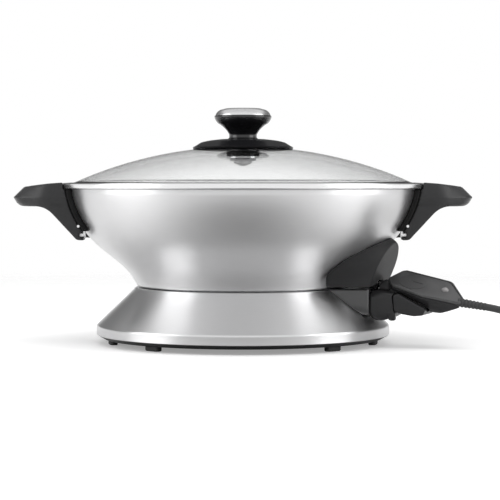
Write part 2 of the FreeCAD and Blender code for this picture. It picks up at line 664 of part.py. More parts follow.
def handleLoop(height, inset):
    """Outline of the grip's loop seen from above, drawn in by inset."""
    half = driving["handleHalf"] - inset * 0.2
    tip = driving["handleTip"] + 0.3 - inset
    corners = [(140, -half), (203, -half), (tip - 6, 19 - half), (tip, 0), (tip - 6, half - 19), (203, half),
               (140, half)]
    return roundedWire([Vector(x, y, height) for x, y in corners], [1, 26, 22, 60, 22, 26, 1])


def makeHandles():
    # Side view of the arm and its leg, then the loop seen from above, widest at its tip.
    side = [(168.0, 166.2), (196.0, 164.2), (230.0, 160.2), (246.0, 150.5), (234.0, 141.4), (216.0, 141.0),
            (198.9, 141.1), (167.4, 107.1), (159.6, 106.9), (157.0, 118.0)]
    softness = [1, 40, 2, 2, 2, 8, 24, 4, 2.6, 1]
    half = driving["handleHalf"]
    profile = roundedWire([Vector(x, -half, z) for x, z in side], softness)
    arm = prism(profile, Vector(0, 2 * half, 0))
    levels = ((90, 7.6), (141.0, 7.6), (144.2, 3.4), (150.0, 0.0), (160.4, 10.6), (170.0, 20.0))
    arm = arm.common(Part.makeLoft([handleLoop(height, inset) for height, inset in levels], True, True))
    finger = driving["fingerHalf"]
    near, far = driving["fingerInner"], driving["gripInner"]
    hole = roundedWire([Vector(near, -finger, 100), Vector(far, -finger, 100), Vector(far, finger, 100),
                        Vector(near, finger, 100)], 9.0)
    arm = arm.cut(prism(hole, Vector(0, 0, 80)))
    under = Part.makeBox(70, 2 * finger, driving["armUnder"] - 90, Vector(150, -finger, 90))
    arm = arm.cut(under)
    arm = arm.cut(Part.makeCylinder(driving["lidClear"], 20, Vector(0, 0, driving["bandUnder"] - 1)))
    handle = arm.cut(bowlSolid(driving["padGap"]))
    # Notch over the lower hook of each leg, where the steel spacer shows.
    spacerTop = driving["legBossHeight"] + driving["legBossRadius"] + 0.4
    spacerUnder = driving["legBossHeight"] - driving["legBossRadius"] - 0.1
    handle = handle.cut(Part.makeBox(24, 2 * half, spacerTop - spacerUnder,
                                     Vector(driving["legBossEnd"] - 24, -half, spacerUnder)))

    # Heat-break pad between the handle and the bowl.
    padHalf = driving["padHalf"]
    padUnder, padTop = driving["padUnder"], driving["padTop"]
    block = Part.makeBox(60, 2 * padHalf, padTop - padUnder, Vector(150, -padHalf, padUnder))
    padSolid = block.common(bowlSolid(driving["padGap"] - 0.1)).cut(bowlSolid(0.1))
    padSolid = padSolid.cut(Part.makeBox(60, 2 * finger - 4, 17, Vector(150, -finger + 2, padUnder - 1)))

    # Brackets welded to the bowl, each with a boss for a leg, and the screws that go into them from outside.
    end = driving["legBossEnd"]
    height = driving["legBossHeight"]
    lean = Vector(1, 0, 0)
    shoulder = driving["legBossLength"]
    strap, strapHalf, strapTop = driving["bracketStrap"], driving["bracketHalf"], driving["bracketTop"]
    brackets, screws, crossPins = [], [], []
    for y in (-driving["legSpread"], driving["legSpread"]):
        boss = Part.makeCylinder(driving["legBossRadius"], shoulder, Vector(end - shoulder, y, height), lean)
        corner = Vector(end - shoulder, y - strapHalf, height)
        upright = Part.makeBox(strap, 2 * strapHalf, strapTop - height, corner)
        brackets.append(boss.fuse(upright).cut(bowlSolid(0.05)))
        padSolid = padSolid.cut(Part.makeBox(strap + 0.2, 2 * strapHalf + 0.2, strapTop - height + 0.1,
                                             corner - Vector(0.1, 0.1, 0)))
        screw = Part.makeCylinder(1.6, 20, Vector(end, y, height), lean)
        head = Part.makeCylinder(3.0, 20, Vector(end + 4.4, y, height), lean)
        handle = handle.cut(screw).cut(head)
        screws.append(screw.common(Part.makeBox(4.4, 60, 20, Vector(end, y - 30, height - 10)))
                      .fuse(Part.makeCylinder(3.0, 1.4, Vector(end + 4.4, y, height), lean)))
        outward = math.copysign(1, y)
        start = Vector(driving["crossPinReach"], outward * (half + 0.3), driving["crossPinHeight"])
        crossPins.append(Part.makeCylinder(driving["crossPin"], half - finger, start, Vector(0, -outward, 0)))
        handle = handle.cut(crossPins[-1])
        padSolid = padSolid.cut(crossPins[-1])
    for name, turn in (("right", 0), ("left", 180)):
        for label, shape in (("handle_" + name, handle), ("handle_pad_" + name, padSolid),
                             ("handle_brackets_" + name, Part.makeCompound(brackets)),
                             ("handle_screws_" + name, Part.makeCompound(screws)),
                             ("handle_pins_" + name, Part.makeCompound(crossPins))):
            placed = shape.copy()
            placed.Placement = Placement(Vector(), Rotation(Vector(0, 0, 1), turn))
            coded(label, placed)


def shieldOutline(depth, half, middle, top, under=0.0, steps=9):
    """Bullet outline in the leaning plane of the shield, depth behind its outward face."""
    lean = math.radians(driving["shieldLean"])
    rise = Vector(math.sin(lean), 0, math.cos(lean))
    back = Vector(-math.cos(lean), 0, math.sin(lean)) * depth
    origin = Vector(driving["shieldReach"], 0, driving["shieldUnder"]) + back
    origin.z = driving["shieldUnder"]
    origin.x = driving["shieldReach"] - depth / math.cos(lean)
    points = []
    for step in range(-steps, steps + 1):
        angle = math.pi / 2 * step / steps
        points.append(origin + rise * (middle + (top - middle) * math.cos(angle))
                      + Vector(0, half * math.sin(angle), 0))
    points.insert(0, origin + rise * under + Vector(0, -half * 0.965, 0))
    points.append(origin + rise * under + Vector(0, half * 0.965, 0))
    curve = Part.BSplineCurve()
    curve.interpolate(points)
    return Part.Wire([curve.toShape(), Part.LineSegment(points[-1], points[0]).toShape()])


def makeShield():
    wall = driving["shieldWall"]
    half = driving["shieldHalf"]
    tall = (driving["shieldTop"] - driving["shieldUnder"]) / math.cos(math.radians(driving["shieldLean"]))

    def form(inset):
        sections = ((inset, half - inset, 15, tall - 2.6 - inset * 1.6),
                    (12, half + 11 - inset, 22, tall + 5.6 - inset),
                    (34, half + 18 - inset, 27, tall + 14.0 - inset),
                    (50, half + 17 - inset, 26, tall + 16.0 - inset))
        return Part.makeLoft([shieldOutline(*section) for section in sections], True)

    solid = form(0)
    hollow = form(wall)
    solid = solid.cut(hollow.cut(Part.makeBox(200, 120, 3.2, Vector(40, -60, driving["shieldUnder"] + 38))))
    apex, skirt = driving["skirtApex"], driving["skirtHalf"]
    corner = apex + skirt * math.tan(math.radians(-driving["probeAzimuth"]))
    plan = [Vector(apex, 0, 0), Vector(corner, -skirt, 0), Vector(200, -skirt, 0), Vector(200, skirt, 0),
            Vector(corner, skirt, 0), Vector(apex, 0, 0)]
    solid = solid.common(prism(Part.makePolygon(plan), Vector(0, 0, 120)))
    arch = driving["guardHalf"] + 0.5
    opening = Part.makeCylinder(arch, 40, Vector(118, 0, driving["guardTop"] + driving["archGap"] - arch),
                                Vector(1, 0, 0))
    solid = solid.cut(opening)
    placed = solid.copy()
    placed.Placement = probeTurn
    coded("terminal_shield", placed.cut(bowlSolid(0.3)))

    guardHalf = driving["guardHalf"]
    sheetIn = driving["guardSheet"]
    centre = driving["guardTop"] - guardHalf
    reach = driving["guardEnd"] - 112.6

    def tunnel(radius, start, length, foot):
        tube = Part.makeCylinder(radius, length, Vector(start, 0, centre), Vector(1, 0, 0))
        return tube.fuse(Part.makeBox(length, 2 * radius, centre - foot, Vector(start, -radius, foot)))

    guard = tunnel(guardHalf, 112.6, reach, 34.5).cut(tunnel(guardHalf - sheetIn, 110, 60, 30))
    guard = guard.cut(Part.makeBox(60, 60, 24.2, Vector(110, -30, 20)))
    inFront = driving["noseEnd"] - 0.5
    guard = guard.cut(Part.makeBox(20, 60, 18, Vector(inFront, -30, driving["noseTop"] + 2.2 - 18)))
    guard.Placement = probeTurn
    coded("socket_guard", guard.cut(bowlSolid(0.4)))


def makeCowl():
    under, top = driving["socketUnder"], driving["cowlTop"]

    def section(x, half, corner):
        wire = [Vector(x, -half, top), Vector(x, -half, under), Vector(x, half, under), Vector(x, half, top)]
        return roundedWire(wire, [1.2, corner, corner, 1.2])

    body = Part.makeLoft([section(96, driving["cowlWideHalf"] + 2.6, 15), section(driving["cowlEnd"],
                         driving["cowlEndHalf"], 10)], True, True)
    half = driving["channelHalf"]
    channel = Part.makeBox(80, 2 * half, 40, Vector(80, -half, under + 1.5))
    body = body.cut(channel)
    body.Placement = probeTurn
    coded("probe_cowl", body.cut(coneSolid(0.25)))


# ---------------------------------------------------------------- control probe

headPlace = (Placement(Vector(driving["headReach"], 0, driving["headHeight"]), Rotation())
             .multiply(Placement(Vector(), Rotation(Vector(0, 1, 0), driving["headPitch"])))
             .multiply(Placement(Vector(), Rotation(Vector(1, 0, 0), driving["headRoll"]))))


headCorners = [(-39.8, -4.0), (-30.8, 18.2), (21.0, 18.0), (41.0, -8.4), (40.8, -16.0), (-0.5, -20.0),
               (-33.6, -14.0)]


def headWire(height, inset, fall=0.0):
    """Outline of the control head in its own tilted plane, deeper towards the plug by the given fall."""
    middle = Vector(0, -1.5, 0)
    shrunk = []
    for x, y in headCorners:
        arm = Vector(x, y, 0) - middle
        corner = middle + arm * (1 - inset / arm.Length)
        shrunk.append(corner + Vector(0, 0, height - fall * (headCorners[3][0] - corner.x)))
    radii = [3.5, 5, 9, 3.6, 3.0, 14, 5]
    return roundedWire(shrunk, radii)


def makeProbe():
    makeNose()
    makeHousing()
    makeControls()


def placedCopy(shape, placement):
    moved = shape.copy()
    moved.Placement = placement
    return moved


def makeNose():
    """Plug nose that goes over the terminal pins, with its sleeves and the sensing rod."""
    nose = newBody("probe_nose", probeTurn)
    shoulder, crown = d.noseTop - d.noseCorner, d.noseHalf - d.noseCorner
    outline = [(-d.noseHalf, d.noseUnder), (d.noseHalf, d.noseUnder), (d.noseHalf, shoulder),
               (crown, d.noseTop), (-crown, d.noseTop), (-d.noseHalf, shoulder)]
    pad(nose, "YZ_Plane", [outline], d.noseInner, d.noseEnd - d.noseInner)
    sleeve = d.pinRadius + 1.2
    for side in (-1, 1):
        bore(nose, d.pinHeight, sleeve, d.noseInner - 1, d.pinEnd + 2, y=side * d.pinSpread)
    bore(nose, d.earthHeight, d.earthRadius + 0.4, d.noseInner - 1, d.pinEnd + 2)

    sleeves = []
    for side in (-1, 1):
        place = at(driving["noseInner"] + 1.5, side * driving["pinSpread"], d.pinHeight, ALONG_X)
        outer = primitive("Cylinder", "sleeve_outer", place, Radius=sleeve - 0.05, Height=d.sleeveLength)
        inner = primitive("Cylinder", "sleeve_bore", place, Radius=d.pinRadius + 0.35, Height=d.sleeveLength)
        sleeves.append(joined("Cut", "sleeve", [outer, inner]))
    keep(joined("Compound", "plug_contacts", sleeves), "plug_contacts", probeTurn)

    rod = primitive("Cylinder", "sensing_rod", Radius=d.rodRadius, Height=d.noseInner - d.rodTip)
    keep(rod, "sensing_rod", probeTurn.multiply(at(d.rodTip, 0, d.rodHeight, ALONG_X)))


def blockSection(x, wide, low, high, corner):
    return roundedWire([Vector(x, -wide, low), Vector(x, wide, low), Vector(x, wide, high),
                        Vector(x, -wide, high)], corner)


def makeHousing():
    """Plug block behind the nose, grown together with the hull of the control head."""
    start, end = driving["noseEnd"], driving["blockEnd"]
    wide, low, high = driving["blockWide"], driving["blockLow"], driving["blockHigh"]
    block = Part.makeLoft([
        blockSection(start, wide, low, high, 9),
        blockSection(start + 5, wide + 1.2, low - 2.4, high + 0.4, 8),
        blockSection(start + 14.7, wide - 0.4, low - 2.0, high - 0.4, 7),
        blockSection(end, wide - 2.9, low + 3.4, high - 2.5, 5)], True)
    lug = Part.makeBox(driving["lugLength"], driving["lugWide"], driving["lugTall"],
                       Vector(driving["lugStart"], driving["lugSide"], driving["lugUnder"]))
    across = [edge for edge in lug.Edges if edge.BoundBox.YLength > driving["lugWide"] - 0.1]
    lug = lug.makeFillet(2.0, across)
    deep = driving["headDeep"]
    wall = driving["wallSheet"]
    brim = -driving["faceSheet"]
    fall = driving["headFall"]
    hull = Part.makeLoft([headWire(brim, 0), headWire(brim - 5, 0.6), headWire(-deep, 8.5, fall)], True)
    cavity = Part.makeLoft([headWire(brim, wall), headWire(brim - 5, wall + 0.6),
                            headWire(wall - deep, 8.5 + wall, fall)], True)
    hull = hull.cut(headTaper(0))
    cavity = cavity.cut(headTaper(wall))
    above = prism(headWire(brim, -6), Vector(0, 0, 34))
    core, coreUnder = driving["coreHalf"], driving["coreUnder"]
    coreStart = end - 9.5
    neck = Part.makeBox(driving["coreEnd"] - coreStart, 2 * core, high + 1 - coreUnder,
                        Vector(coreStart, -core, coreUnder))
    housing = block.fuse(lug).fuse(placedCopy(hull, headPlace)).fuse(neck)
    housing = housing.cut(placedCopy(above, headPlace))
    housing = housing.fuse(collarForm()).cut(placedCopy(cavity, headPlace))

    # The trigger swings about its pin, so its slot is the sum of its positions.
    pivot = Vector(driving["triggerPivot"], 0, driving["triggerPivotHeight"])
    coreBox = Part.makeBox(60, 2 * core, 40, Vector(150, -core, coreUnder - 1.0))
    resting = triggerForm(0.8, 40).cut(coreBox)
    slot = resting
    for swing in (2.0, 4.0, 6.0):
        turned = resting.copy()
        turned.rotate(pivot, Vector(0, 1, 0), -swing)
        slot = slot.fuse(turned)
    half = driving["triggerHalf"]
    gap = core + 0.6
    inside = Part.makeBox(60, 2 * gap, 40, Vector(150, -gap, coreUnder - 1.4))
    trigger = triggerForm(0, half).cut(inside)
    reach = half - 1.6
    pivotPin = Part.makeCylinder(1.5, 2 * reach, pivot - Vector(0, reach, 0), Vector(0, 1, 0))
    pinBore = Part.makeCylinder(1.8, 2 * reach + 0.6, pivot - Vector(0, reach + 0.3, 0), Vector(0, 1, 0))
    coded("release_trigger", placedCopy(trigger.cut(pinBore), probeTurn))
    coded("trigger_pin", placedCopy(pivotPin, probeTurn))
    housing = housing.cut(slot).cut(pivotPin)

    screws = []
    for x, y in ((14.0, -8.0), (14.0, 4.0)):
        underside = Vector(x, y, -deep - fall * (headCorners[3][0] - x))
        screw = Part.makeCylinder(driving["headScrew"], driving["headScrewTall"], underside)
        screws.append(placedCopy(screw, headPlace))
        housing = housing.cut(screws[-1])
    coded("probe_screws", placedCopy(Part.makeCompound(screws), probeTurn))

    relief = reliefForm()
    coded("strain_relief", placedCopy(relief, probeTurn))
    housing = placedCopy(housing.cut(relief), probeTurn)
    coded("probe_housing", housing.cut(coneSolid(0.4)))


def headTaper(lift):
    """Wedge under the cord end of the head, where the hull tapers to the cord, raised by the given lift."""
    start, rise = driving["taperFrom"], driving["taperRise"]
    deep = driving["headDeep"] + driving["headFall"] * (headCorners[3][0] - start)
    deep -= lift * math.hypot(1, rise)
    before, after = 16.0, 40.0
    side = [(-before, -deep - rise * before), (after, -deep + rise * after), (after, -80), (-before, -80)]
    wedge = Part.makePolygon([Vector(start + x, -40, z) for x, z in side + side[:1]])
    return prism(wedge, Vector(0, 80, 0))


def collarForm():
    """Hump on top of the plug block, where it grows into the near end of the head."""
    near, across = driving["collarNear"], driving["collarAcross"]
    side = [(147.4, 52.0), (147.4, 62.4), (151.2, 66.6), (156.6, 68.4), (161.0, 64.0), (161.0, 52.0)]
    wire = roundedWire([Vector(x, near, z) for x, z in side], [1, 2.5, 3, 2, 2, 1])
    overFace = prism(headWire(-driving["faceSheet"], -0.4), Vector(0, 0, 20))
    return prism(wire, Vector(0, across, 0)).cut(placedCopy(overFace, headPlace))


def triggerForm(grow, wide):
    """Side view of the trigger, grown all round, as a prism of the given half width."""
    outline = [(165.6, 54.8), (171.5, 54.2), (190.0, 44.2), (199.2, 39.8), (196.4, 33.4), (187.0, 32.4),
               (173.5, 34.4), (166.6, 36.6)]
    softness = [3.2, 5, 16, 2.4, 3, 10, 8, 4]
    middle = Vector(180, 0, 43)
    corners = []
    for x, z in outline:
        arm = Vector(x, 0, z) - middle
        corners.append(middle + arm * (1 + grow / arm.Length) + Vector(0, -wide, 0))
    return prism(roundedWire(corners, softness), Vector(0, 2 * wide, 0))


def reliefForm():
    """Tapered strain relief, along the way the cord leaves the head."""
    start = Vector(driving["reliefStart"], driving["cordAside"], driving["reliefHeight"])
    way = cordWay()
    thick, thin = driving["reliefRadius"], driving["cordRadius"] + 0.4
    straight = Part.makeCylinder(thick, 5, start, way)
    whole = straight.fuse(Part.makeCone(thick, thin, driving["reliefLength"] - 5, start + way * 5, way))
    overFace = prism(headWire(0, 0), Vector(0, 0, 20))
    return whole.cut(placedCopy(overFace, headPlace))


def cordWay():
    """Direction in which the cord leaves the head, seen from the probe."""
    fall = math.radians(driving["cordFall"])
    return Vector(math.cos(fall), 0, -math.sin(fall))


def makeControls():
    """Face of the head, the dial with its cam, the switch and the indicator light."""
    turn = probeTurn.multiply(headPlace)
    brim = -driving["faceSheet"]
    aside = -1.0
    dialX, lampX = driving["dialAlong"], driving["lampAlong"]
    dialRadius, lampRadius = driving["dialRadius"], driving["lampRadius"]
    face = prism(headWire(brim, 0), Vector(0, 0, -brim - 1)).fuse(
        Part.makeLoft([headWire(-1.0, 0), headWire(0, 1.0)], True, True))
    face = face.cut(Part.makeCylinder(dialRadius + 0.4, 4, Vector(dialX, aside, -1.6)))
    face = face.cut(Part.makeCylinder(3.4, 10, Vector(dialX, aside, -5)))
    face = face.cut(Part.makeCylinder(lampRadius, 10, Vector(lampX, aside, -5)))
    relief = placedCopy(reliefForm(), headPlace.inverse())
    coded("probe_face", placedCopy(face.cut(relief), turn))

    dial = Part.makeCylinder(dialRadius, 1.7, Vector(dialX, aside, -1.3))
    groove = Part.makeBox(dialRadius - 3, 2.0, 1.0, Vector(dialX, aside - 1.0, -0.3))
    coded("temperature_dial", placedCopy(dial.cut(groove), turn))
    shaft = Part.makeCylinder(3.0, 5.2, Vector(dialX, aside, -6.5))
    cam = Part.makeCylinder(6.0, 2.0, Vector(dialX + 1.2, aside, -8.5))
    coded("dial_cam_shaft", placedCopy(shaft.fuse(cam), turn))

    strip = Part.makeBox(30, 12, 3.2, Vector(dialX - 14, -7, -13.6))
    contact = Part.makeBox(5, 8, 4.2, Vector(dialX + 10, -5, -13.6))
    coded("thermostat_switch", placedCopy(strip.fuse(contact), turn))

    lens = Part.makeCylinder(lampRadius, -brim + 0.6, Vector(lampX, aside, brim))
    dome = Part.makeSphere(3.7, Vector(lampX, aside, -0.9))
    dome = dome.common(Part.makeCylinder(lampRadius, 6, Vector(lampX, aside, -1)))
    coded("indicator_lens", placedCopy(lens.fuse(dome), turn))
    coded("indicator_lamp", placedCopy(Part.makeCylinder(2.4, 6, Vector(lampX, aside, brim - 6)), turn))


# ---------------------------------------------------------------- mains cord

def tangentRoute(points, name):
    """Straight runs joined by tangent arcs, each as large as its two runs allow."""
    edges = []
    here = points[0]
    radii = []
    for before, corner, after in zip(points, points[1:], points[2:]):
        toward, away = before - corner, after - corner
        shorter = min(toward.Length, away.Length)
        half = (math.pi - toward.getAngle(away)) / 2
        radius = 0.45 * shorter / math.tan(half)
        radii.append(round(radius, 1))
        toward.normalize()
        away.normalize()
        first = corner + toward * (0.45 * shorter)
        last = corner + away * (0.45 * shorter)
        middle = corner + (toward + away).normalize() * (radius / math.cos(half) - radius)
        edges.append(Part.LineSegment(here, first).toShape())
        edges.append(Part.Arc(first, middle, last).toShape())
        here = last
    edges.append(Part.LineSegment(here, points[-1]).toShape())
    route = Part.Wire(edges)
    print(f"{name}: length {route.Length:.1f}, radii {radii}")
    return route


def tube(points, name):
    """Round cord along a route; its volume must be its section times its length."""
    route = tangentRoute(points, name)
    section = Part.Wire([Part.Circle(points[0], points[1] - points[0], driving["cordRadius"]).toShape()])
    solid = route.makePipeShell([section], True, True)
    ideal = math.pi * driving["cordRadius"] ** 2 * route.Length
    assert abs(solid.Volume / ideal - 1) < 0.01, name
    coded(name, solid)
    return route.Length


def makeCord():
    centre = Vector(driving["coilX"], driving["coilY"], 0)
    thick = driving["cordRadius"]
    ring = driving["coilRadius"]
    pitch, turns = driving["coilPitch"], driving["coilTurns"]
    start = Vector(driving["reliefStart"], driving["cordAside"], driving["reliefHeight"])
    leave = probeTurn.multVec(start + cordWay() * driving["reliefLength"])
    land = centre + Vector(0, -ring, thick)
    run = tube([leave, Vector(264.0, -106.1, 39.1), Vector(292.0, -112.6, 19.0),
                Vector(321.0, -109.2, 4.4), land], "power_cord")

    top = thick + pitch * turns
    outer = primitive("Cylinder", "coil_outer", at(centre.x, centre.y, 0),
                      Radius=d.coilRadius + d.cordRadius, Height=top + thick)
    inner = primitive("Cylinder", "coil_inner", at(centre.x, centre.y, -1),
                      Radius=d.coilRadius - d.cordRadius, Height=top + thick + 2)
    keep(joined("Cut", "cord_coil", [outer, inner]), "cord_coil")

    lift = centre + Vector(ring, 0, top)
    neck = Vector(centre.x + ring - 5, centre.y + 108, driving["plugHeight"])
    tail = tube([lift, lift + Vector(0, 29, -2.4), lift + Vector(-2, 59, -13.6), neck - Vector(0, 24, 0),
                 neck], "cord_tail")
    total = run + 2 * math.pi * ring * turns + tail
    print(f"whole cord {total:.0f} mm from the strain relief to the plug")

    half = driving["plugHalf"]

    def section(along, wide, corner):
        spot = neck + Vector(0, along, 0)
        wide = min(wide, driving["plugHeight"])
        return roundedWire([spot + Vector(-wide, 0, -wide), spot + Vector(wide, 0, -wide),
                            spot + Vector(wide, 0, wide), spot + Vector(-wide, 0, wide)], corner)

    neckForm = Part.makeCone(thick + 0.6, 6.0, 20, neck, Vector(0, 1, 0))
    end = 20 + driving["plugLength"]
    body = Part.makeLoft([section(18, 7.4, 4), section(28, half - 1.2, 5), section(end, half, 5)], True, True)
    coded("mains_plug", neckForm.fuse(body))
    face = neck + Vector(0, end, 0)
    pins = [Part.makeBox(1.5, 17.5, 6.4, face + Vector(side * 6.35 - 0.75, 0, -5.2)) for side in (-1, 1)]
    pins.append(Part.makeCylinder(2.4, 20.5, face + Vector(0, 0, 7.0), Vector(0, 1, 0)))
    coded("plug_pins", Part.makeCompound(pins))


makeLid()
makeKnob()
makeBowl()
makeHeater()
makeBase()
makeLatch()
makeHandles()
makeShield()
makeCowl()
makeProbe()
makeCord()

doc.recompute()
for thing in doc.Objects:
    bad = [state for state in thing.State if state in ("Invalid", "Error")]
    assert not bad, f"{thing.Label}: {bad}"
os.makedirs("parts", exist_ok=True)
for thing in subparts:
    shape = thing.Shape
    assert not shape.isNull() and shape.isValid(), thing.Label
    shape.exportStep(f"parts/{thing.Label}.step")
    print(f"{thing.Label:24s} solids {len(shape.Solids)} volume {shape.Volume / 1000:8.2f} cm3")
print(len(subparts), "sub-parts")
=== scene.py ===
import math
import bmesh
import bpy
from mathutils import Matrix, Vector


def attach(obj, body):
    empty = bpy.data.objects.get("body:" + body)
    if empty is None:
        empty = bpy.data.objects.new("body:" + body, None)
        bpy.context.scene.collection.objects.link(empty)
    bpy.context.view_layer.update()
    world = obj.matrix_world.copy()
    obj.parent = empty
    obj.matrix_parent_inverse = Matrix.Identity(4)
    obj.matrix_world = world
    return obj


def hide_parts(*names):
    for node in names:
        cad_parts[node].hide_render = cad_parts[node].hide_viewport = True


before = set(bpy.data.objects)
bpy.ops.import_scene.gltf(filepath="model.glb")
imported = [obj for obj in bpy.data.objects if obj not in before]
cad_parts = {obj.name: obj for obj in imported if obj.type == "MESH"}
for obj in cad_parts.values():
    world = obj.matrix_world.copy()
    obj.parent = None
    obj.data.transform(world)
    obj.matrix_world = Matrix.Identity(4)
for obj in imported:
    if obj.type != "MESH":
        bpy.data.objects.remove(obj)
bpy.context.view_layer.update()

mm = 0.001


# small helpers shared by all pieces

def newObject(name, data):
    piece = bpy.data.objects.new(name, data)
    bpy.context.scene.collection.objects.link(piece)
    return piece


def meshObject(name, points, faces, smooth=True, sharpAbove=32):
    mesh = bpy.data.meshes.new(name)
    mesh.from_pydata([tuple(point) for point in points], [], faces)
    mesh.validate()
    piece = newObject(name, mesh)
    tidyMesh(piece, smooth, sharpAbove)
    return piece


def tidyMesh(piece, smooth=True, sharpAbove=32):
    # doubles go first, so that the outward side is found on a closed surface
    work = bmesh.new()
    work.from_mesh(piece.data)
    bmesh.ops.remove_doubles(work, verts=work.verts, dist=1e-6)
    bmesh.ops.recalc_face_normals(work, faces=work.faces)
    work.to_mesh(piece.data)
    work.free()
    if smooth:
        piece.data.polygons.foreach_set("use_smooth", [True] * len(piece.data.polygons))
        piece.data.set_sharp_from_angle(angle=math.radians(sharpAbove))
    piece.data.update()


def swung(arm, angle):
    return Vector((arm.x * math.cos(angle) - arm.y * math.sin(angle),
                   arm.x * math.sin(angle) + arm.y * math.cos(angle)))


def arcBetween(start, end, radius, stepDegrees=4, stepLength=12):
    # minor arc between two points; a positive radius bulges to the right of the way
    chord = end - start
    height = math.sqrt(max(radius * radius - chord.length_squared / 4, 0))
    left = Vector((-chord.y, chord.x)) / chord.length
    centre = (start + end) / 2 + left * math.copysign(height, radius)
    first = start - centre
    sweep = first.angle_signed(end - centre, 0)
    count = max(2, math.ceil(abs(math.degrees(sweep)) / stepDegrees), math.ceil(chord.length / stepLength))
    return [centre + swung(first, -sweep * step / count) for step in range(1, count)]


def outlinePoints(outline):
    # corners are (radius, height) or (radius, height, radius of the arc to the next), in millimetres
    points = []
    for index, corner in enumerate(outline):
        start = Vector(corner[:2])
        points.append(start)
        if len(corner) == 3:
            points += arcBetween(start, Vector(outline[(index + 1) % len(outline)][:2]), corner[2])
    return points


def softened(corners, radii, steps):
    # flat outline with an arc at each corner
    points = []
    for index, corner in enumerate(corners):
        here = Vector(corner)
        toward = (Vector(corners[index - 1]) - here).normalized()
        away = (Vector(corners[(index + 1) % len(corners)]) - here).normalized()
        half = toward.angle(away) / 2
        back = radii[index] / math.tan(half)
        centre = here + (toward + away).normalized() * (radii[index] / math.sin(half))
        first = here + toward * back - centre
        sweep = first.angle_signed(here + away * back - centre, 0)
        points += [centre + swung(first, -sweep * step / steps) for step in range(steps + 1)]
    return points


def joinedRings(rings):
    # points and faces of a solid whose sides join equal rings, with a cap at each end
    around, count = len(rings[0]), len(rings)
    faces = []
    for row in range(count - 1):
        for step in range(around):
            here, following = row * around + step, row * around + (step + 1) % around
            faces.append((here, following, following + around, here + around))
    faces += [tuple(range(around - 1, -1, -1)), tuple(range((count - 1) * around, count * around))]
    return [point for ring in rings for point in ring], faces


def feed(node, inputs):
    # a socket is linked to the input, and anything else is the input's own value
    for key, value in inputs.items():
        if isinstance(value, bpy.types.NodeSocket):
            node.id_data.links.new(value, node.inputs[key])
        else:
            node.inputs[key].default_value = value


def nodeMaker(tree):
    def make(kind, inputs=None, **settings):
        node = tree.nodes.new(kind)
        for name, value in settings.items():
            setattr(node, name, value)
        feed(node, inputs or {})
        return node
    return make


def shapeTree(name, sizes):
    # empty geometry tree with named inputs for its sizes, and the finish last
    tree = bpy.data.node_groups.new(name, "GeometryNodeTree")
    for way in ("INPUT", "OUTPUT"):
        tree.interface.new_socket("Geometry", in_out=way, socket_type="NodeSocketGeometry")
    for label, value in sizes.items():
        kind = {int: "NodeSocketInt", float: "NodeSocketFloat", tuple: "NodeSocketVector"}[type(value)]
        tree.interface.new_socket(label, in_out="INPUT", socket_type=kind).default_value = value
    tree.interface.new_socket("Finish", in_out="INPUT", socket_type="NodeSocketMaterial")
    make = nodeMaker(tree)
    return tree, make, make("NodeGroupInput").outputs


def endTree(make, given, geometry):
    # instances made real and the finish set, as every tree ends
    real = make("GeometryNodeRealizeInstances", {0: geometry})
    coat = make("GeometryNodeSetMaterial", {"Geometry": real.outputs[0], "Material": given["Finish"]})
    make("NodeGroupOutput", {0: coat.outputs[0]})


def mathNode(make, operation, *values):
    return make("ShaderNodeMath", dict(enumerate(values)), operation=operation).outputs[0]


def rangeNode(make, value, fromMin, fromMax, toMin, toMax, smooth=False):
    return make("ShaderNodeMapRange", {
        "Value": value, "From Min": fromMin, "From Max": fromMax, "To Min": toMin, "To Max": toMax},
        interpolation_type="SMOOTHSTEP" if smooth else "LINEAR").outputs["Result"]


def keepResult(piece):
    # runs the modifiers of a piece, and keeps what they make as a plain mesh
    made = bpy.data.meshes.new_from_object(piece.evaluated_get(bpy.context.evaluated_depsgraph_get()))
    piece.modifiers.clear()
    piece.data = made
    made.name = piece.name


def grownPiece(name, mesh, tree, sizes, finish, sharpAbove=32):
    # what a tree makes of a mesh
    piece = newObject(name, mesh)
    shape = piece.modifiers.new("shape", "NODES")
    shape.node_group = tree
    for socket in tree.interface.items_tree:
        if socket.in_out == "INPUT" and socket.name in sizes:
            shape[socket.identifier] = sizes[socket.name]
        if socket.name == "Finish":
            shape[socket.identifier] = finish
    keepResult(piece)
    tidyMesh(piece, True, sharpAbove)
    return piece


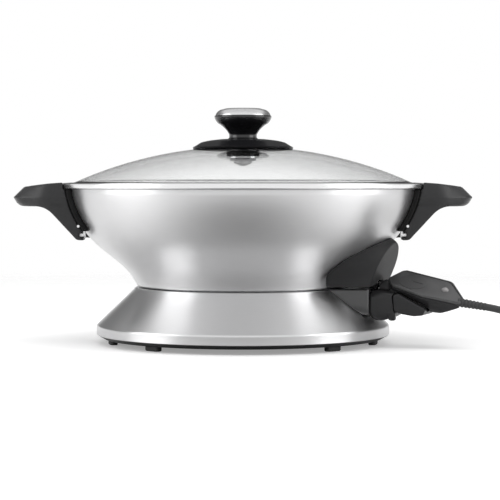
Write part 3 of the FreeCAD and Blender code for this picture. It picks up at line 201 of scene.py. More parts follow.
def turningTree():
    # turns a closed profile, drawn as points of a mesh in the XZ plane, about the Z axis
    tree, make, given = shapeTree("turnedSheet", {"Around": 192})
    corners = make("GeometryNodeAttributeDomainSize", {0: given["Geometry"]}).outputs["Point Count"]
    rows = mathNode(make, "ADD", corners, 1)
    columns = mathNode(make, "ADD", given["Around"], 1)
    grid = make("GeometryNodeMeshGrid", {"Vertices X": columns, "Vertices Y": rows})
    index = make("GeometryNodeInputIndex").outputs[0]
    row = mathNode(make, "MODULO", mathNode(make, "MODULO", index, rows), corners)
    column = mathNode(make, "FLOOR", mathNode(make, "DIVIDE", index, rows))
    angle = mathNode(make, "DIVIDE", mathNode(make, "MULTIPLY", column, math.tau), given["Around"])
    corner = make("GeometryNodeSampleIndex", {
        "Geometry": given["Geometry"], "Value": make("GeometryNodeInputPosition").outputs[0], "Index": row},
        data_type="FLOAT_VECTOR")
    split = make("ShaderNodeSeparateXYZ", {0: corner.outputs[0]}).outputs
    place = make("ShaderNodeCombineXYZ", {
        "X": mathNode(make, "MULTIPLY", split["X"], mathNode(make, "COSINE", angle)),
        "Y": mathNode(make, "MULTIPLY", split["X"], mathNode(make, "SINE", angle)), "Z": split["Z"]})
    move = make("GeometryNodeSetPosition", {"Geometry": grid.outputs["Mesh"], "Position": place.outputs[0]})
    closed = make("GeometryNodeMergeByDistance", {"Geometry": move.outputs[0], "Distance": 1e-6})
    endTree(make, given, closed.outputs[0])
    return tree


turnedSheet = turningTree()


def turnedPiece(name, outline, finish, around=192, sharpAbove=32):
    # solid of revolution about the wok's axis, from an outline in millimetres
    profile = bpy.data.meshes.new(name)
    profile.from_pydata([(radius * mm, 0, height * mm) for radius, height in outlinePoints(outline)], [], [])
    return grownPiece(name, profile, turnedSheet, {"Around": around}, finish, sharpAbove)


def mouldedCopy(name, node, voxel, rounds):
    # a merged copy of a solid, with its edges rounded as in a moulding
    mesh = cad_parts[node].data.copy()
    mesh.name = name
    piece = newObject(name, mesh)
    tidyMesh(piece, False)
    even = piece.modifiers.new("even", "REMESH")
    even.mode = "VOXEL"
    even.voxel_size = voxel * mm
    soft = piece.modifiers.new("soft", "SMOOTH")
    soft.iterations = rounds
    keepResult(piece)
    tidyMesh(piece, sharpAbove=60)
    return piece


def coated(piece, finish):
    piece.data.materials.clear()
    piece.data.materials.append(finish)
    return piece


def placed(piece, body, slot, *nodes):
    # last step of each piece: its body and the solids that it stands for
    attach(piece, body)
    if nodes:
        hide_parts(*nodes)


# camera

camera = {
    "distance": 1.8707, "height": 0.1641, "pitch": 2.105, "lens": 130.14, "sensor": 36.0, "shiftX": 0.014,
    "clipEnd": 60.0,
}
cameraData = bpy.data.cameras.new("camera")
cameraData.lens = camera["lens"]
cameraData.sensor_width = camera["sensor"]
cameraData.shift_x = camera["shiftX"]
cameraData.clip_end = camera["clipEnd"]
cameraObject = newObject("camera", cameraData)
cameraObject.location = (0, -camera["distance"], camera["height"])
cameraObject.rotation_euler = (math.radians(90 - camera["pitch"]), 0, 0)
bpy.context.scene.camera = cameraObject
print("camera placed")


# shader helpers

def newMaterial(name, inputs):
    material = bpy.data.materials.new(name)
    material.use_nodes = True
    shader = material.node_tree.nodes["Principled BSDF"]
    feed(shader, inputs)
    return material, nodeMaker(material.node_tree), shader


def finishGroup(name, sizes):
    # empty shader group: named inputs, and outputs for a bump, a roughness and a colour
    group = bpy.data.node_groups.new(name, "ShaderNodeTree")
    for label, value in sizes.items():
        group.interface.new_socket(label, in_out="INPUT", socket_type="NodeSocketFloat").default_value = value
    group.interface.new_socket("Tint", in_out="INPUT", socket_type="NodeSocketColor")
    for label, kind in (("Height", "Float"), ("Roughness", "Float"), ("Colour", "Color")):
        group.interface.new_socket(label, in_out="OUTPUT", socket_type="NodeSocket" + kind)
    make = nodeMaker(group)
    return group, make, make("NodeGroupInput").outputs, make("ShaderNodeTexCoord").outputs["Object"]


def endGroup(make, given, height, mask, middle):
    # the mask, less its middle, spreads the roughness and shades the tint
    centred = mathNode(make, "SUBTRACT", mask, middle)
    rough = mathNode(make, "MULTIPLY_ADD", centred, given["Spread"], given["Rough"])
    shade = mathNode(make, "MULTIPLY_ADD", centred, given["Colour spread"], 1.0)
    tint = make("ShaderNodeVectorMath", {0: given["Tint"], "Scale": shade}, operation="SCALE")
    make("NodeGroupOutput", {"Height": height, "Roughness": rough, "Colour": tint.outputs[0]})


grain = {
    "turnDrift": 0.006, "lineDetail": 3.0, "lineRough": 0.65, "cloudScale": 9.0, "cloudShare": 0.35,
    "lineMiddle": 0.67, "sparkDetail": 2.0, "sparkRough": 0.6, "flowScale": 38.0, "flowDetail": 4.0,
    "flowWarp": 0.6, "flowMiddle": 0.5, "reliefDepth": 0.0002, "steelSpread": 0.12, "steelShade": 0.08,
    "plasticShade": 0.25,
}


def grainGroup():
    # fine lines that run round the wok's axis
    group, make, given, place = finishGroup("turnedGrain", {
        "Lines": 900.0, "Rough": 0.3, "Spread": 0.1, "Colour spread": 0.04})
    split = make("ShaderNodeSeparateXYZ", {0: place}).outputs
    flat = make("ShaderNodeCombineXYZ", {"X": split["X"], "Y": split["Y"]})
    radius = make("ShaderNodeVectorMath", {0: flat.outputs[0]}, operation="LENGTH").outputs["Value"]
    turn = mathNode(make, "ARCTAN2", split["Y"], split["X"])
    lines = make("ShaderNodeCombineXYZ", {
        "X": radius, "Y": mathNode(make, "MULTIPLY", turn, grain["turnDrift"]), "Z": split["Z"]})
    fine = make("ShaderNodeTexNoise", {
        "Vector": lines.outputs[0], "Scale": given["Lines"], "Detail": grain["lineDetail"],
        "Roughness": grain["lineRough"]}).outputs["Fac"]
    cloud = make("ShaderNodeTexNoise", {"Vector": place, "Scale": grain["cloudScale"], "Detail": 2.0})
    both = mathNode(make, "MULTIPLY_ADD", cloud.outputs["Fac"], grain["cloudShare"], fine)
    endGroup(make, given, fine, both, grain["lineMiddle"])
    return group


def mouldGroup():
    # moulded plastic: fine spark-eroded texture, faint flow shading and handling marks
    group, make, given, place = finishGroup("mouldedSkin", {
        "Grain": 1500.0, "Rough": 0.4, "Spread": 0.12, "Colour spread": 0.3})
    spark = make("ShaderNodeTexNoise", {
        "Vector": place, "Scale": given["Grain"], "Detail": grain["sparkDetail"],
        "Roughness": grain["sparkRough"]})
    flow = make("ShaderNodeTexNoise", {
        "Vector": place, "Scale": grain["flowScale"], "Detail": grain["flowDetail"],
        "Distortion": grain["flowWarp"]})
    endGroup(make, given, spark.outputs["Fac"], flow.outputs["Fac"], grain["flowMiddle"])
    return group


turnedGrain = grainGroup()
mouldedSkin = mouldGroup()


def fromGroup(name, group, tint, bump, sizes, inputs):
    # material whose colour, roughness and relief come from one of the two groups
    material, make, shader = newMaterial(name, inputs)
    skin = make("ShaderNodeGroup", node_tree=group)
    feed(skin, {**sizes, "Tint": (*tint, 1)})
    relief = make("ShaderNodeBump", {
        "Strength": bump, "Distance": grain["reliefDepth"], "Height": skin.outputs["Height"]})
    feed(shader, {"Base Color": skin.outputs["Colour"], "Roughness": skin.outputs["Roughness"],
                  "Normal": relief.outputs["Normal"]})
    return material, make, shader


def turnedSteel(name, tint, rough, anisotropy=0.0, bump=0.1, lines=900.0, metallic=1.0):
    # an anisotropic highlight stretches across the lines, up and down the wall
    sizes = {"Lines": lines, "Rough": rough, "Spread": grain["steelSpread"],
             "Colour spread": grain["steelShade"]}
    material, make, shader = fromGroup(name, turnedGrain, tint, bump, sizes, {
        "Metallic": metallic, "Anisotropic": anisotropy, "Anisotropic Rotation": 0.25})
    if anisotropy:
        feed(shader, {"Tangent": make("ShaderNodeTangent", direction_type="RADIAL", axis="Z").outputs[0]})
    return material


def moulded(name, tint, rough, bump=0.12, specular=0.5, sparks=1500.0, spread=0.12):
    sizes = {"Grain": sparks, "Rough": rough, "Spread": spread, "Colour spread": grain["plasticShade"]}
    return fromGroup(name, mouldedSkin, tint, bump, sizes, {"Specular IOR Level": specular})[0]


steels = {
    # finish: tint, roughness, anisotropy, bump, lines to the metre, metallic
    "bowlSteel": ((0.68, 0.68, 0.685), 0.36, 0.65, 0.02, 2400.0),
    "baseSteel": ((0.72, 0.72, 0.725), 0.33, 0.7, 0.02, 2400.0),
    "bandSteel": ((0.82, 0.82, 0.825), 0.24, 0.3, 0.03),
    "capSteel": ((0.74, 0.74, 0.745), 0.28, 0.5, 0.08, 1500.0),
    "polishedSteel": ((0.82, 0.82, 0.83), 0.12, 0.0, 0.02),
    "dullSteel": ((0.48, 0.48, 0.49), 0.42),
    "darkSteel": ((0.075, 0.075, 0.08), 0.30),
    "weldSteel": ((0.86, 0.86, 0.865), 0.55),
    "aluminium": ((0.70, 0.71, 0.73), 0.36),
    "brass": ((0.72, 0.55, 0.27), 0.25, 0.0, 0.03),
    "nonStick": ((0.05, 0.05, 0.052), 0.38, 0.0, 0.12, 500.0, 0.35),
}
plastics = {
    # finish: tint, roughness, bump, specular level, sparks to the metre, spread of the roughness
    "phenolic": ((0.029, 0.029, 0.030), 0.36, 0.10, 0.28),
    "knobPhenolic": ((0.010, 0.010, 0.011), 0.18, 0.04, 0.6),
    "discPhenolic": ((0.008, 0.008, 0.009), 0.22, 0.04, 0.05),
    "shieldPhenolic": ((0.036, 0.036, 0.037), 0.40, 0.10, 0.05),
    # the saddles are near-black: painted shade standing for the shadow between each handle and the bowl
    "saddlePaintedShade": ((0.008, 0.008, 0.008), 0.6, 0.1, 0.12),
    "probePlastic": ((0.024, 0.024, 0.025), 0.32, 0.12, 0.30),
    # the control face and its dial are tinted lighter than the probe's hull: painted sheen for the light the
    # tilted face catches
    "facePaintedSheen": ((0.075, 0.075, 0.076), 0.34, 0.16),
    "dialPlastic": ((0.040, 0.040, 0.041), 0.40),
    "cowlPlastic": ((0.045, 0.045, 0.046), 0.26, 0.08, 0.8),
    "lens": ((0.30, 0.29, 0.29), 0.16, 0.02, 0.5, 1500.0, 0.05),
    "enamel": ((0.016, 0.016, 0.017), 0.30, 0.10, 0.5, 700.0),
    "rubber": ((0.020, 0.020, 0.020), 0.62, 0.25, 0.5, 900.0),
    "jacket": ((0.030, 0.030, 0.031), 0.46, 0.15, 0.5, 1200.0),
    "silicone": ((0.05, 0.05, 0.05), 0.55, 0.1),
    "sealBlack": ((0.006, 0.006, 0.006), 0.6, 0.05, 0.1),
}
finishes = {name: turnedSteel(name, *look) for name, look in steels.items()}
finishes.update({name: moulded(name, *look) for name, look in plastics.items()})
print(len(finishes), "finishes made")


# cord: one curve from the strain relief, round the coil, to the plug

cord = {
    "diameter": 7.0, "body": "probe", "curveSteps": 6, "lineSteps": 8, "roundness": 5,
    "run": [(238.03, -96.64, 43.0), (264.0, -106.1, 39.1), (292.0, -112.6, 19.0), (321.0, -109.2, 4.4)],
    "coilCentre": (352.0, -73.0), "coilRadius": 36.0, "turns": 4.25, "pitch": 7.1, "pointsPerTurn": 16,
    "tail": [(388.0, -44.0, 31.28), (386.0, -14.0, 20.08), (383.0, 11.0, 12.5), (383.0, 35.0, 12.5)],
}


def cordRoute():
    route = [Vector(point) for point in cord["run"]]
    count = round(cord["turns"] * cord["pointsPerTurn"])
    thick = cord["diameter"] / 2
    for step in range(count + 1):
        angle = math.tau * step / cord["pointsPerTurn"] - math.pi / 2
        rise = thick + cord["pitch"] * step / cord["pointsPerTurn"]
        route.append(Vector((cord["coilCentre"][0] + cord["coilRadius"] * math.cos(angle),
                             cord["coilCentre"][1] + cord["coilRadius"] * math.sin(angle), rise)))
    return route + [Vector(point) for point in cord["tail"]]


def cordCurve(name, route, steps):
    data = bpy.data.curves.new(name, "CURVE")
    data.dimensions = "3D"
    spline = data.splines.new("NURBS")
    spline.points.add(len(route) - 1)
    for point, place in zip(spline.points, route):
        point.co = (*(place * mm), 1)
    spline.order_u = 3
    spline.use_endpoint_u = True
    spline.resolution_u = steps
    return data


def cordLength(route):
    # walked along the bare curve, which is thrown away again
    line = newObject("cordLine", cordCurve("cordLine", route, cord["lineSteps"]))
    walked = bpy.data.meshes.new_from_object(line.evaluated_get(bpy.context.evaluated_depsgraph_get()))
    bpy.data.objects.remove(line)
    return sum((walked.vertices[edge.vertices[0]].co - walked.vertices[edge.vertices[1]].co).length
               for edge in walked.edges)


def makeCord():
    route = cordRoute()
    data = cordCurve("mainsCord", route, cord["curveSteps"])
    data.bevel_depth = cord["diameter"] / 2 * mm
    data.bevel_resolution = cord["roundness"]
    data.use_fill_caps = True
    piece = newObject("mainsCord", data)
    placed(coated(piece, finishes["jacket"]), cord["body"], "cord_jacket", "power_cord", "cord_coil",
           "cord_tail")
    length = cordLength(route)
    print(f"cord {length:.3f} m")


makeCord()


# studio: pale floor, white surroundings, three soft boxes

studio = {
    "floorRadius": 2.4, "floorSides": 96, "floorClear": 0.75, "floorGone": 1.5, "floorGrey": 0.86,
    "floorRough": 0.55, "floorGlow": 0.30,
    # painted shade in the floor, seen only in reflections: grey at the spot in front of the wok, pale towards
    # the sides
    "paintedShadeSpot": (0.0, -0.30), "spotInner": 0.02, "spotOuter": 0.38, "spotGrey": 0.20, "sideGrey": 0.95,
    "worldLight": 0.38, "frontLow": 0.60, "frontHigh": 1.0, "throughGlass": 0.24,
    # where the front brightens with height, and where it gives way to the back
    "riseBetween": (-0.55, -0.18), "backBetween": (-0.7, 0.1),
    # brightness that metal sees behind the wok, by height of the direction
    "backShades": [(0.0, 1.2), (0.05, 1.1), (0.14, 0.16), (0.36, 0.20), (0.54, 0.32), (0.68, 0.85),
                   (1.0, 0.72)],
    "aim": (0.0, 0.0, 0.1),
    "boxes": [
        # name, place, size, watts, whether metal shows it
        ("overhead", (0.0, -0.25, 1.9), (2.0, 1.5), 30.0, False),
        ("leftBox", (-1.8, -0.5, 0.7), (1.3, 1.4), 14.0, True),
        ("rightBox", (1.8, -0.5, 0.7), (1.3, 1.4), 14.0, True),
    ],
}


def makeFloor():
    radius, around = studio["floorRadius"], studio["floorSides"]
    rim = [(radius * math.cos(math.tau * i / around), radius * math.sin(math.tau * i / around), 0)
           for i in range(around)]
    floor = meshObject("floor", rim, [list(range(around))], False)
    material, make, shader = newMaterial("floorWhite", {
        "Roughness": studio["floorRough"], "Emission Color": (1, 1, 1, 1)})
    place = make("ShaderNodeTexCoord").outputs["Object"]
    light = make("ShaderNodeLightPath").outputs
    away = make("ShaderNodeVectorMath", {0: place}, operation="LENGTH").outputs["Value"]
    # painted shade: for glossy rays only, the floor's colour darkens in a spot in front of the wok, so
    # polished metal shows a dark reflection there
    spot = make("ShaderNodeVectorMath", {0: place, 1: (*studio["paintedShadeSpot"], 0)}, operation="DISTANCE")
    shade = rangeNode(make, spot.outputs["Value"], studio["spotInner"], studio["spotOuter"],
                      studio["spotGrey"], studio["sideGrey"], True)
    tone = make("ShaderNodeMix", data_type="FLOAT")
    feed(tone, {"Factor": light["Is Glossy Ray"], "A": studio["floorGrey"], "B": shade})
    grey = make("ShaderNodeCombineColor", {channel: tone.outputs[0] for channel in ("Red", "Green", "Blue")})
    feed(shader, {
        "Base Color": grey.outputs[0],
        "Alpha": rangeNode(make, away, studio["floorClear"], studio["floorGone"], 1, 0),
        "Emission Strength": mathNode(make, "MULTIPLY", light["Is Camera Ray"], studio["floorGlow"])})
    floor.data.materials.append(material)


def makeWorld():
    world = bpy.data.worlds.new("studio")
    bpy.context.scene.world = world
    world.use_nodes = True
    world.node_tree.nodes.clear()
    make = nodeMaker(world.node_tree)
    way = make("ShaderNodeSeparateXYZ", {0: make("ShaderNodeTexCoord").outputs["Generated"]}).outputs
    rise = rangeNode(make, way["Z"], *studio["riseBetween"], studio["frontLow"], studio["frontHigh"], True)
    back = make("ShaderNodeValToRGB", {"Fac": way["Z"]})
    shades = back.color_ramp.elements
    while len(shades) < len(studio["backShades"]):
        shades.new(0.5)
    for element, (height, shade) in zip(shades, studio["backShades"]):
        element.position = height
        element.color = (shade, shade, shade, 1)
    around = rangeNode(make, way["Y"], *studio["backBetween"], rise, back.outputs["Color"], True)
    path = make("ShaderNodeLightPath").outputs
    through = path["Is Transmission Ray"]
    glossy = make("ShaderNodeMix", {
        "Factor": path["Is Glossy Ray"], "A": studio["worldLight"], "B": around}, data_type="FLOAT")
    # the white sheet is brighter than white where glass dims it
    white = mathNode(make, "MULTIPLY_ADD", through, studio["throughGlass"], 1.0)
    strength = make("ShaderNodeMix", {
        "Factor": mathNode(make, "MAXIMUM", path["Is Camera Ray"], through), "A": glossy.outputs[0],
        "B": white}, data_type="FLOAT")
    sky = make("ShaderNodeBackground", {"Color": (1, 1, 1, 1), "Strength": strength.outputs[0]})
    make("ShaderNodeOutputWorld", {"Surface": sky.outputs[0]})


def makeLights():
    for name, place, size, watts, shown in studio["boxes"]:
        data = bpy.data.lights.new(name, "AREA")
        data.shape = "RECTANGLE"
        data.size, data.size_y = size
        data.energy = watts
        lamp = newObject(name, data)
        lamp.location = place
        lamp.rotation_euler = (Vector(studio["aim"]) - Vector(place)).to_track_quat("-Z", "Y").to_euler()
        lamp.visible_glossy = shown


makeFloor()
makeWorld()
makeLights()
bpy.context.scene.view_settings.view_transform = "Standard"
print("studio ready")


# lid: glass dome, rolled steel band, knob

lid = {
    "domeRadius": 428.0, "domeEdge": 177.0, "domeEdgeHeight": 164.3, "glassWall": 2.8, "glassHole": 5.2,
    "wallMeetsRim": 179.86, "glassRim": 184.5, "rimTop": 163.5, "rimUnder": 159.9, "rimChamfer": 1.0,
    "rimHeel": 1.2, "rimLedge": 2.2,
    "glassIndex": 1.45, "glassTint": (0.985, 0.987, 0.987), "glassShade": (0.90, 0.91, 0.91),
    "glassDensity": 60.0, "haze": 0.03, "hazeScale": 14.0,
    "lipInner": 176.0, "lipRise": 0.6,
    "bandRadius": 187.5, "bandTop": 164.5, "bandUnder": 158.9, "bandSheet": 0.7, "bandBend": 1.2,
    "bandLip": 178.4, "skirtRadius": 175.0, "skirtUnder": 152.5, "around": 256,
}


def domeHeight(radius, drop=0.0):
    centre = lid["domeEdgeHeight"] - math.sqrt(lid["domeRadius"] ** 2 - lid["domeEdge"] ** 2)
    return centre + math.sqrt((lid["domeRadius"] - drop) ** 2 - radius ** 2)


def makeGlass():
    wall, dome, hole = lid["glassWall"], lid["domeRadius"], lid["glassHole"]
    rim, top, under, chamfer, heel = (lid[key] for key in (
        "glassRim", "rimTop", "rimUnder", "rimChamfer", "rimHeel"))
    outline = [
        (hole, domeHeight(hole)), (hole, domeHeight(hole, wall), wall - dome), (lid["wallMeetsRim"], under),
        (rim - heel, under), (rim, under + heel), (rim, top - chamfer), (rim - chamfer, top),
        (lid["domeEdge"] + lid["rimLedge"], top), (lid["domeEdge"], lid["domeEdgeHeight"], dome)]
    material, make, shader = newMaterial("lidGlass", {
        "IOR": lid["glassIndex"], "Base Color": (*lid["glassTint"], 1), "Transmission Weight": 1.0})
    haze = make("ShaderNodeTexNoise", {
        "Vector": make("ShaderNodeTexCoord").outputs["Object"], "Scale": lid["hazeScale"], "Detail": 3.0})
    feed(shader, {"Roughness": rangeNode(make, haze.outputs["Fac"], 0, 1, 0, lid["haze"])})
    dim = make("ShaderNodeVolumeAbsorption", {
        "Color": (*lid["glassShade"], 1), "Density": lid["glassDensity"]})
    feed(material.node_tree.nodes["Material Output"], {"Volume": dim.outputs[0]})
    piece = turnedPiece("glassDome", outline, material, lid["around"], 40)
    placed(piece, "lid", "glass", "lid_glass")


def makeBand():
    # rolled steel edge: a flat face between two small bends, open towards the glass
    bend, sheet, radius = lid["bandBend"], lid["bandSheet"], lid["bandRadius"]
    top, under, hollow = lid["bandTop"], lid["bandUnder"], lid["bandBend"] - lid["bandSheet"]
    outline = [
        (lid["bandLip"], top - sheet), (radius - bend, top - sheet, -hollow), (radius - sheet, top - bend),
        (radius - sheet, under + bend, -hollow), (radius - bend, under + sheet),
        (lid["skirtRadius"] - sheet, under + sheet), (lid["skirtRadius"] - sheet, lid["skirtUnder"]),
        (lid["skirtRadius"], lid["skirtUnder"]), (lid["skirtRadius"], under), (radius - bend, under, bend),
        (radius, under + bend), (radius + 0.05, (under + top) / 2), (radius, top - bend, bend),
        (radius - bend, top), (lid["bandLip"], top)]
    piece = turnedPiece("rimBand", outline, finishes["bandSteel"], lid["around"], 40)
    placed(piece, "lid", "bright_steel", "lid_band")
    edge, inner = lid["bandLip"] - 0.1, lid["lipInner"]
    lip = turnedPiece("sealLip", [
        (inner, domeHeight(inner) + 0.05), (lid["domeEdge"] + 0.1, lid["domeEdgeHeight"] + 0.02),
        (edge, lid["rimTop"] + 0.4), (edge, top), (edge - 0.5, top + lid["lipRise"]),
        (inner + 0.4, top + lid["lipRise"]), (inner, domeHeight(inner) + 0.25)],
        finishes["sealBlack"], lid["around"], 40)
    placed(lip, "lid", "silicone")


knob = {
    "discRadius": 51.8, "discUnder": 199.6, "discTop": 210.2, "discArcs": (-420, 60, 110),
    "neckRadius": 14.4, "gripRadius": 29.3, "gripTop": 233.6, "gripArcs": (-16, -22, -24, 14, 3),
    "capRadius": 28.6, "capTop": 241.6, "capArcs": (9, 12), "screwHole": 4.4,
}


def makeKnob():
    under, radius, hole = knob["discUnder"], knob["discRadius"], knob["screwHole"]
    glassTop, discTop, neck = domeHeight(0), knob["discTop"], knob["neckRadius"]
    hollow, slope, crown = knob["discArcs"]
    disc = turnedPiece("guardDisc", [
        (hole, glassTop + 1.6), (30, glassTop + 0.9, hollow), (radius - 3.2, under + 1.1),
        (radius - 2.4, under + 0.2), (radius - 0.5, under + 0.1, 0.6), (radius, under + 0.6),
        (radius, under + 1.9), (radius - 0.5, under + 2.4), (radius - 1.3, under + 2.5),
        (43.5, under + 6.8, slope), (30.5, discTop - 1.2, crown), (neck + 1.6, discTop),
        (hole, discTop)], finishes["discPhenolic"])
    placed(disc, "lid", "phenolic", "knob_guard_disc")
    top, rim = knob["gripTop"], knob["gripRadius"]
    foot, waist, flare, shoulder, edge = knob["gripArcs"]
    grip = turnedPiece("knobGrip", [
        (hole, discTop), (neck + 1.2, discTop), (neck, discTop + 1.2, foot), (neck, discTop + 4.5, waist),
        (19.6, 221.6, flare), (25.6, 226.0, shoulder), (rim, 231.6, edge), (rim, top + 0.2),
        (rim - 0.5, top + 0.6), (rim - 1.0, top + 0.6), (rim - 1.2, top - 0.6), (hole, top - 0.6)],
        finishes["knobPhenolic"])
    placed(grip, "lid", "phenolic", "knob_grip")
    radius, capTop = knob["capRadius"], knob["capTop"]
    side, crown = knob["capArcs"]
    cap = turnedPiece("knobCap", [
        (0, top - 0.6), (radius - 0.4, top - 0.6), (radius, top - 0.2), (radius, top + 0.6, side),
        (20.5, capTop - 0.9, crown), (14.0, capTop), (0, capTop)], finishes["capSteel"])
    placed(cap, "lid", "bright_steel", "knob_cap")


makeGlass()
makeBand()
makeKnob()
print("lid made")


# bowl and base: turned sheet steel

bowl = {
    "under": 58.6, "lipRadius": 181.0, "lipTop": 158.8, "flareAngle": 51.3, "flareRadius": 145.9,
    "flareHeight": 97.3, "flareLength": 22.8, "bellyArc": 100.0, "skirtArc": 67.0, "sheet": 1.2,
    "hem": 104.6, "heelRise": 2.2, "heelInset": 0.6, "shoulderStep": 0.25, "shoulderRise": 1.4,
    "lipChamfer": 0.6, "around": 320,
}
base = {
    "coneTop": 57.5, "coneTopRadius": 109.4, "footRadius": 150.2, "footHeight": 19.6,
    "bandRadius": 151.2, "bandTop": 16.8, "bandUnder": 9.0, "sheet": 1.2, "lip": 99.0, "around": 320,
    # opening for the socket, a block cut out of the cone
    "notchAzimuth": -20.0, "notchHalf": 22.0, "notchUnder": 31.0, "notchInner": 93.4, "notchPast": 5.0,
    "notchAbove": 12.0,
}


def bowlWall(inset, top):
    angle = math.radians(bowl["flareAngle"])
    along, up = math.sin(angle), math.cos(angle)
    inward = (-up, along)
    low = (bowl["flareRadius"] - bowl["flareLength"] * along, bowl["flareHeight"] - bowl["flareLength"] * up)
    skirtCentre = (low[0] - bowl["skirtArc"] * inward[0], low[1] - bowl["skirtArc"] * inward[1])
    skirt = bowl["skirtArc"] + inset
    heel = bowl["under"] + bowl["heelRise"] + inset * bowl["heelInset"]
    bellyCentre = (bowl["flareRadius"] + bowl["bellyArc"] * inward[0],
                   bowl["flareHeight"] + bowl["bellyArc"] * inward[1])
    belly = bowl["bellyArc"] - inset
    lip = bowl["lipRadius"] - inset
    shoulder = lip - bowl["shoulderStep"]
    shoulderHeight = bellyCentre[1] - math.sqrt(belly ** 2 - (shoulder - bellyCentre[0]) ** 2)
    return [
        (skirtCentre[0] - math.sqrt(skirt ** 2 - (heel - skirtCentre[1]) ** 2), heel, -skirt),
        (low[0] + inset * inward[0], low[1] + inset * inward[1]),
        (bowl["flareRadius"] + inset * inward[0], bowl["flareHeight"] + inset * inward[1], belly),
        (shoulder, shoulderHeight), (lip, shoulderHeight + bowl["shoulderRise"]), (lip, top)]


def walkedBack(outline):
    # the same outline the other way round, so each arc changes hands
    turned = []
    for index in range(len(outline) - 1, -1, -1):
        corner = outline[index]
        arcs = outline[index - 1][2:] if index else ()
        turned.append((corner[0], corner[1]) + tuple(-radius for radius in arcs))
    return turned


def makeBowl():
    under, top, sheet, chamfer = bowl["under"], bowl["lipTop"], bowl["sheet"], bowl["lipChamfer"]
    outer, inner = bowlWall(0, top - chamfer), bowlWall(sheet, top - chamfer)
    shell = turnedPiece("bowlOutside", [
        (bowl["hem"], under), (outer[0][0] - bowl["heelRise"], under, 2.6)] + outer
        + [(bowl["lipRadius"] - chamfer, top), (bowl["lipRadius"] - sheet, top)] + walkedBack(inner)
        + [(inner[0][0] - 1.2, under + sheet), (bowl["hem"], under + sheet)],
        finishes["bowlSteel"], bowl["around"], 30)
    placed(shell, "cooker", "shell_steel", "bowl_shell")


def carved(piece, points, faces):
    # takes a plain block out of a piece
    block = meshObject("block", points, faces, False)
    cut = piece.modifiers.new("cut", "BOOLEAN")
    cut.operation = "DIFFERENCE"
    cut.object = block
    keepResult(piece)
    bpy.data.objects.remove(block)
    tidyMesh(piece, True, 30)


def makeBase():
    sheet, foot, top, radius = base["sheet"], base["footRadius"], base["coneTop"], base["coneTopRadius"]
    band, bandTop, under = base["bandRadius"], base["bandTop"], base["bandUnder"]
    shell = turnedPiece("baseShell", [
        (band - 0.5, under), (band, under + 0.5), (band, bandTop, 3.2), (foot, base["footHeight"]),
        (radius + 3.4, top - 2.2, 4.6), (radius, top), (base["lip"], top), (base["lip"], top - sheet),
        (radius - 0.4, top - sheet), (radius + 2.4, top - sheet - 2.0),
        (foot - sheet, base["footHeight"] - 0.6), (band - sheet, bandTop), (band - sheet, under)],
        finishes["baseSteel"], base["around"], 30)
    turn = Matrix.Rotation(math.radians(base["notchAzimuth"]), 4, "Z")
    half, near, far = base["notchHalf"], base["notchInner"], band + base["notchPast"]
    square = ((near, -half), (far, -half), (far, half), (near, half))
    block = [[turn @ Vector((x, y, z)) * mm for x, y in square]
             for z in (base["notchUnder"], top + base["notchAbove"])]
    carved(shell, *joinedRings(block))
    placed(shell, "cooker", "shell_steel", "base_shell")


makeBowl()
makeBase()
print("bowl and base made")


# the control head lies in its own tilted plane, where its outline, face and screws are drawn

head = {
    "azimuth": -20.0, "reach": 196.0, "height": 62.6, "pitch": 13.0, "roll": 25.0, "middle": (0.0, -1.5),
    "corners": [(-39.8, -4.0), (-30.8, 18.2), (21.0, 18.0), (41.0, -8.4), (40.8, -16.0), (-0.5, -20.0),
                (-33.6, -14.0)],
    "rounding": [3.5, 5, 9, 3.6, 3.0, 14, 5], "cornerSteps": 6, "deep": 17.0, "fall": 0.17,
    "screws": [(14.0, -8.0), (14.0, 4.0)],
    # the face has a shadow gap under it, and its crown is (height, inset) from the side to the top
    "faceSheet": 3.4, "groove": 1.2, "crown": [(-0.9, 0.0), (-0.25, 0.45), (0.0, 1.2)],
    # the rim runs between two points of the outline; its section is (way across, share of the lift)
    "rimSteps": (11, 27), "rimHeight": 0.7, "rimUnder": -0.6, "rimInsets": (0.5, 2.7), "rimFade": 4,
    "rimTip": 0.2,
    "rimSection": [(0.0, None), (0.0, 0.7), (0.3, 1.0), (0.7, 1.0), (1.0, 0.6), (1.0, None)],
}
probeTurn = Matrix.Rotation(math.radians(head["azimuth"]), 4, "Z")
headPlace = probeTurn @ (Matrix.Translation((head["reach"], 0, head["height"]))
                         @ Matrix.Rotation(math.radians(head["pitch"]), 4, "Y")
                         @ Matrix.Rotation(math.radians(head["roll"]), 4, "X"))


# parts that repeat: feet, screws, ribs of the strain relief

relief = {
    "start": (230.0, -9.4, 46.8), "fall": 8.1, "length": 27.0, "thick": 4.6, "thin": 3.9, "ribs": 7,
    "ribHeight": 0.6, "sides": 28,
}
feet = {
    "azimuths": (40, 76, 104, 140, -40, -76, -104, -140), "circle": 136.5, "height": 5.0,
    "reach": 7.4, "breadth": 18.5, "corner": 3.1, "cornerSteps": 6, "chamfer": 0.8, "narrowing": 0.86,
}
screw = {"height": 1.4, "topShare": 0.72, "slotLength": 1.05, "slotWidth": 0.26, "sides": 28}


def underHead(x, y):
    # place of a screw's head on the sloping underside of the control head
    depth = head["deep"] + head["fall"] * (head["corners"][3][0] - x)
    return headPlace @ Vector((x, y, screw["height"] - depth))


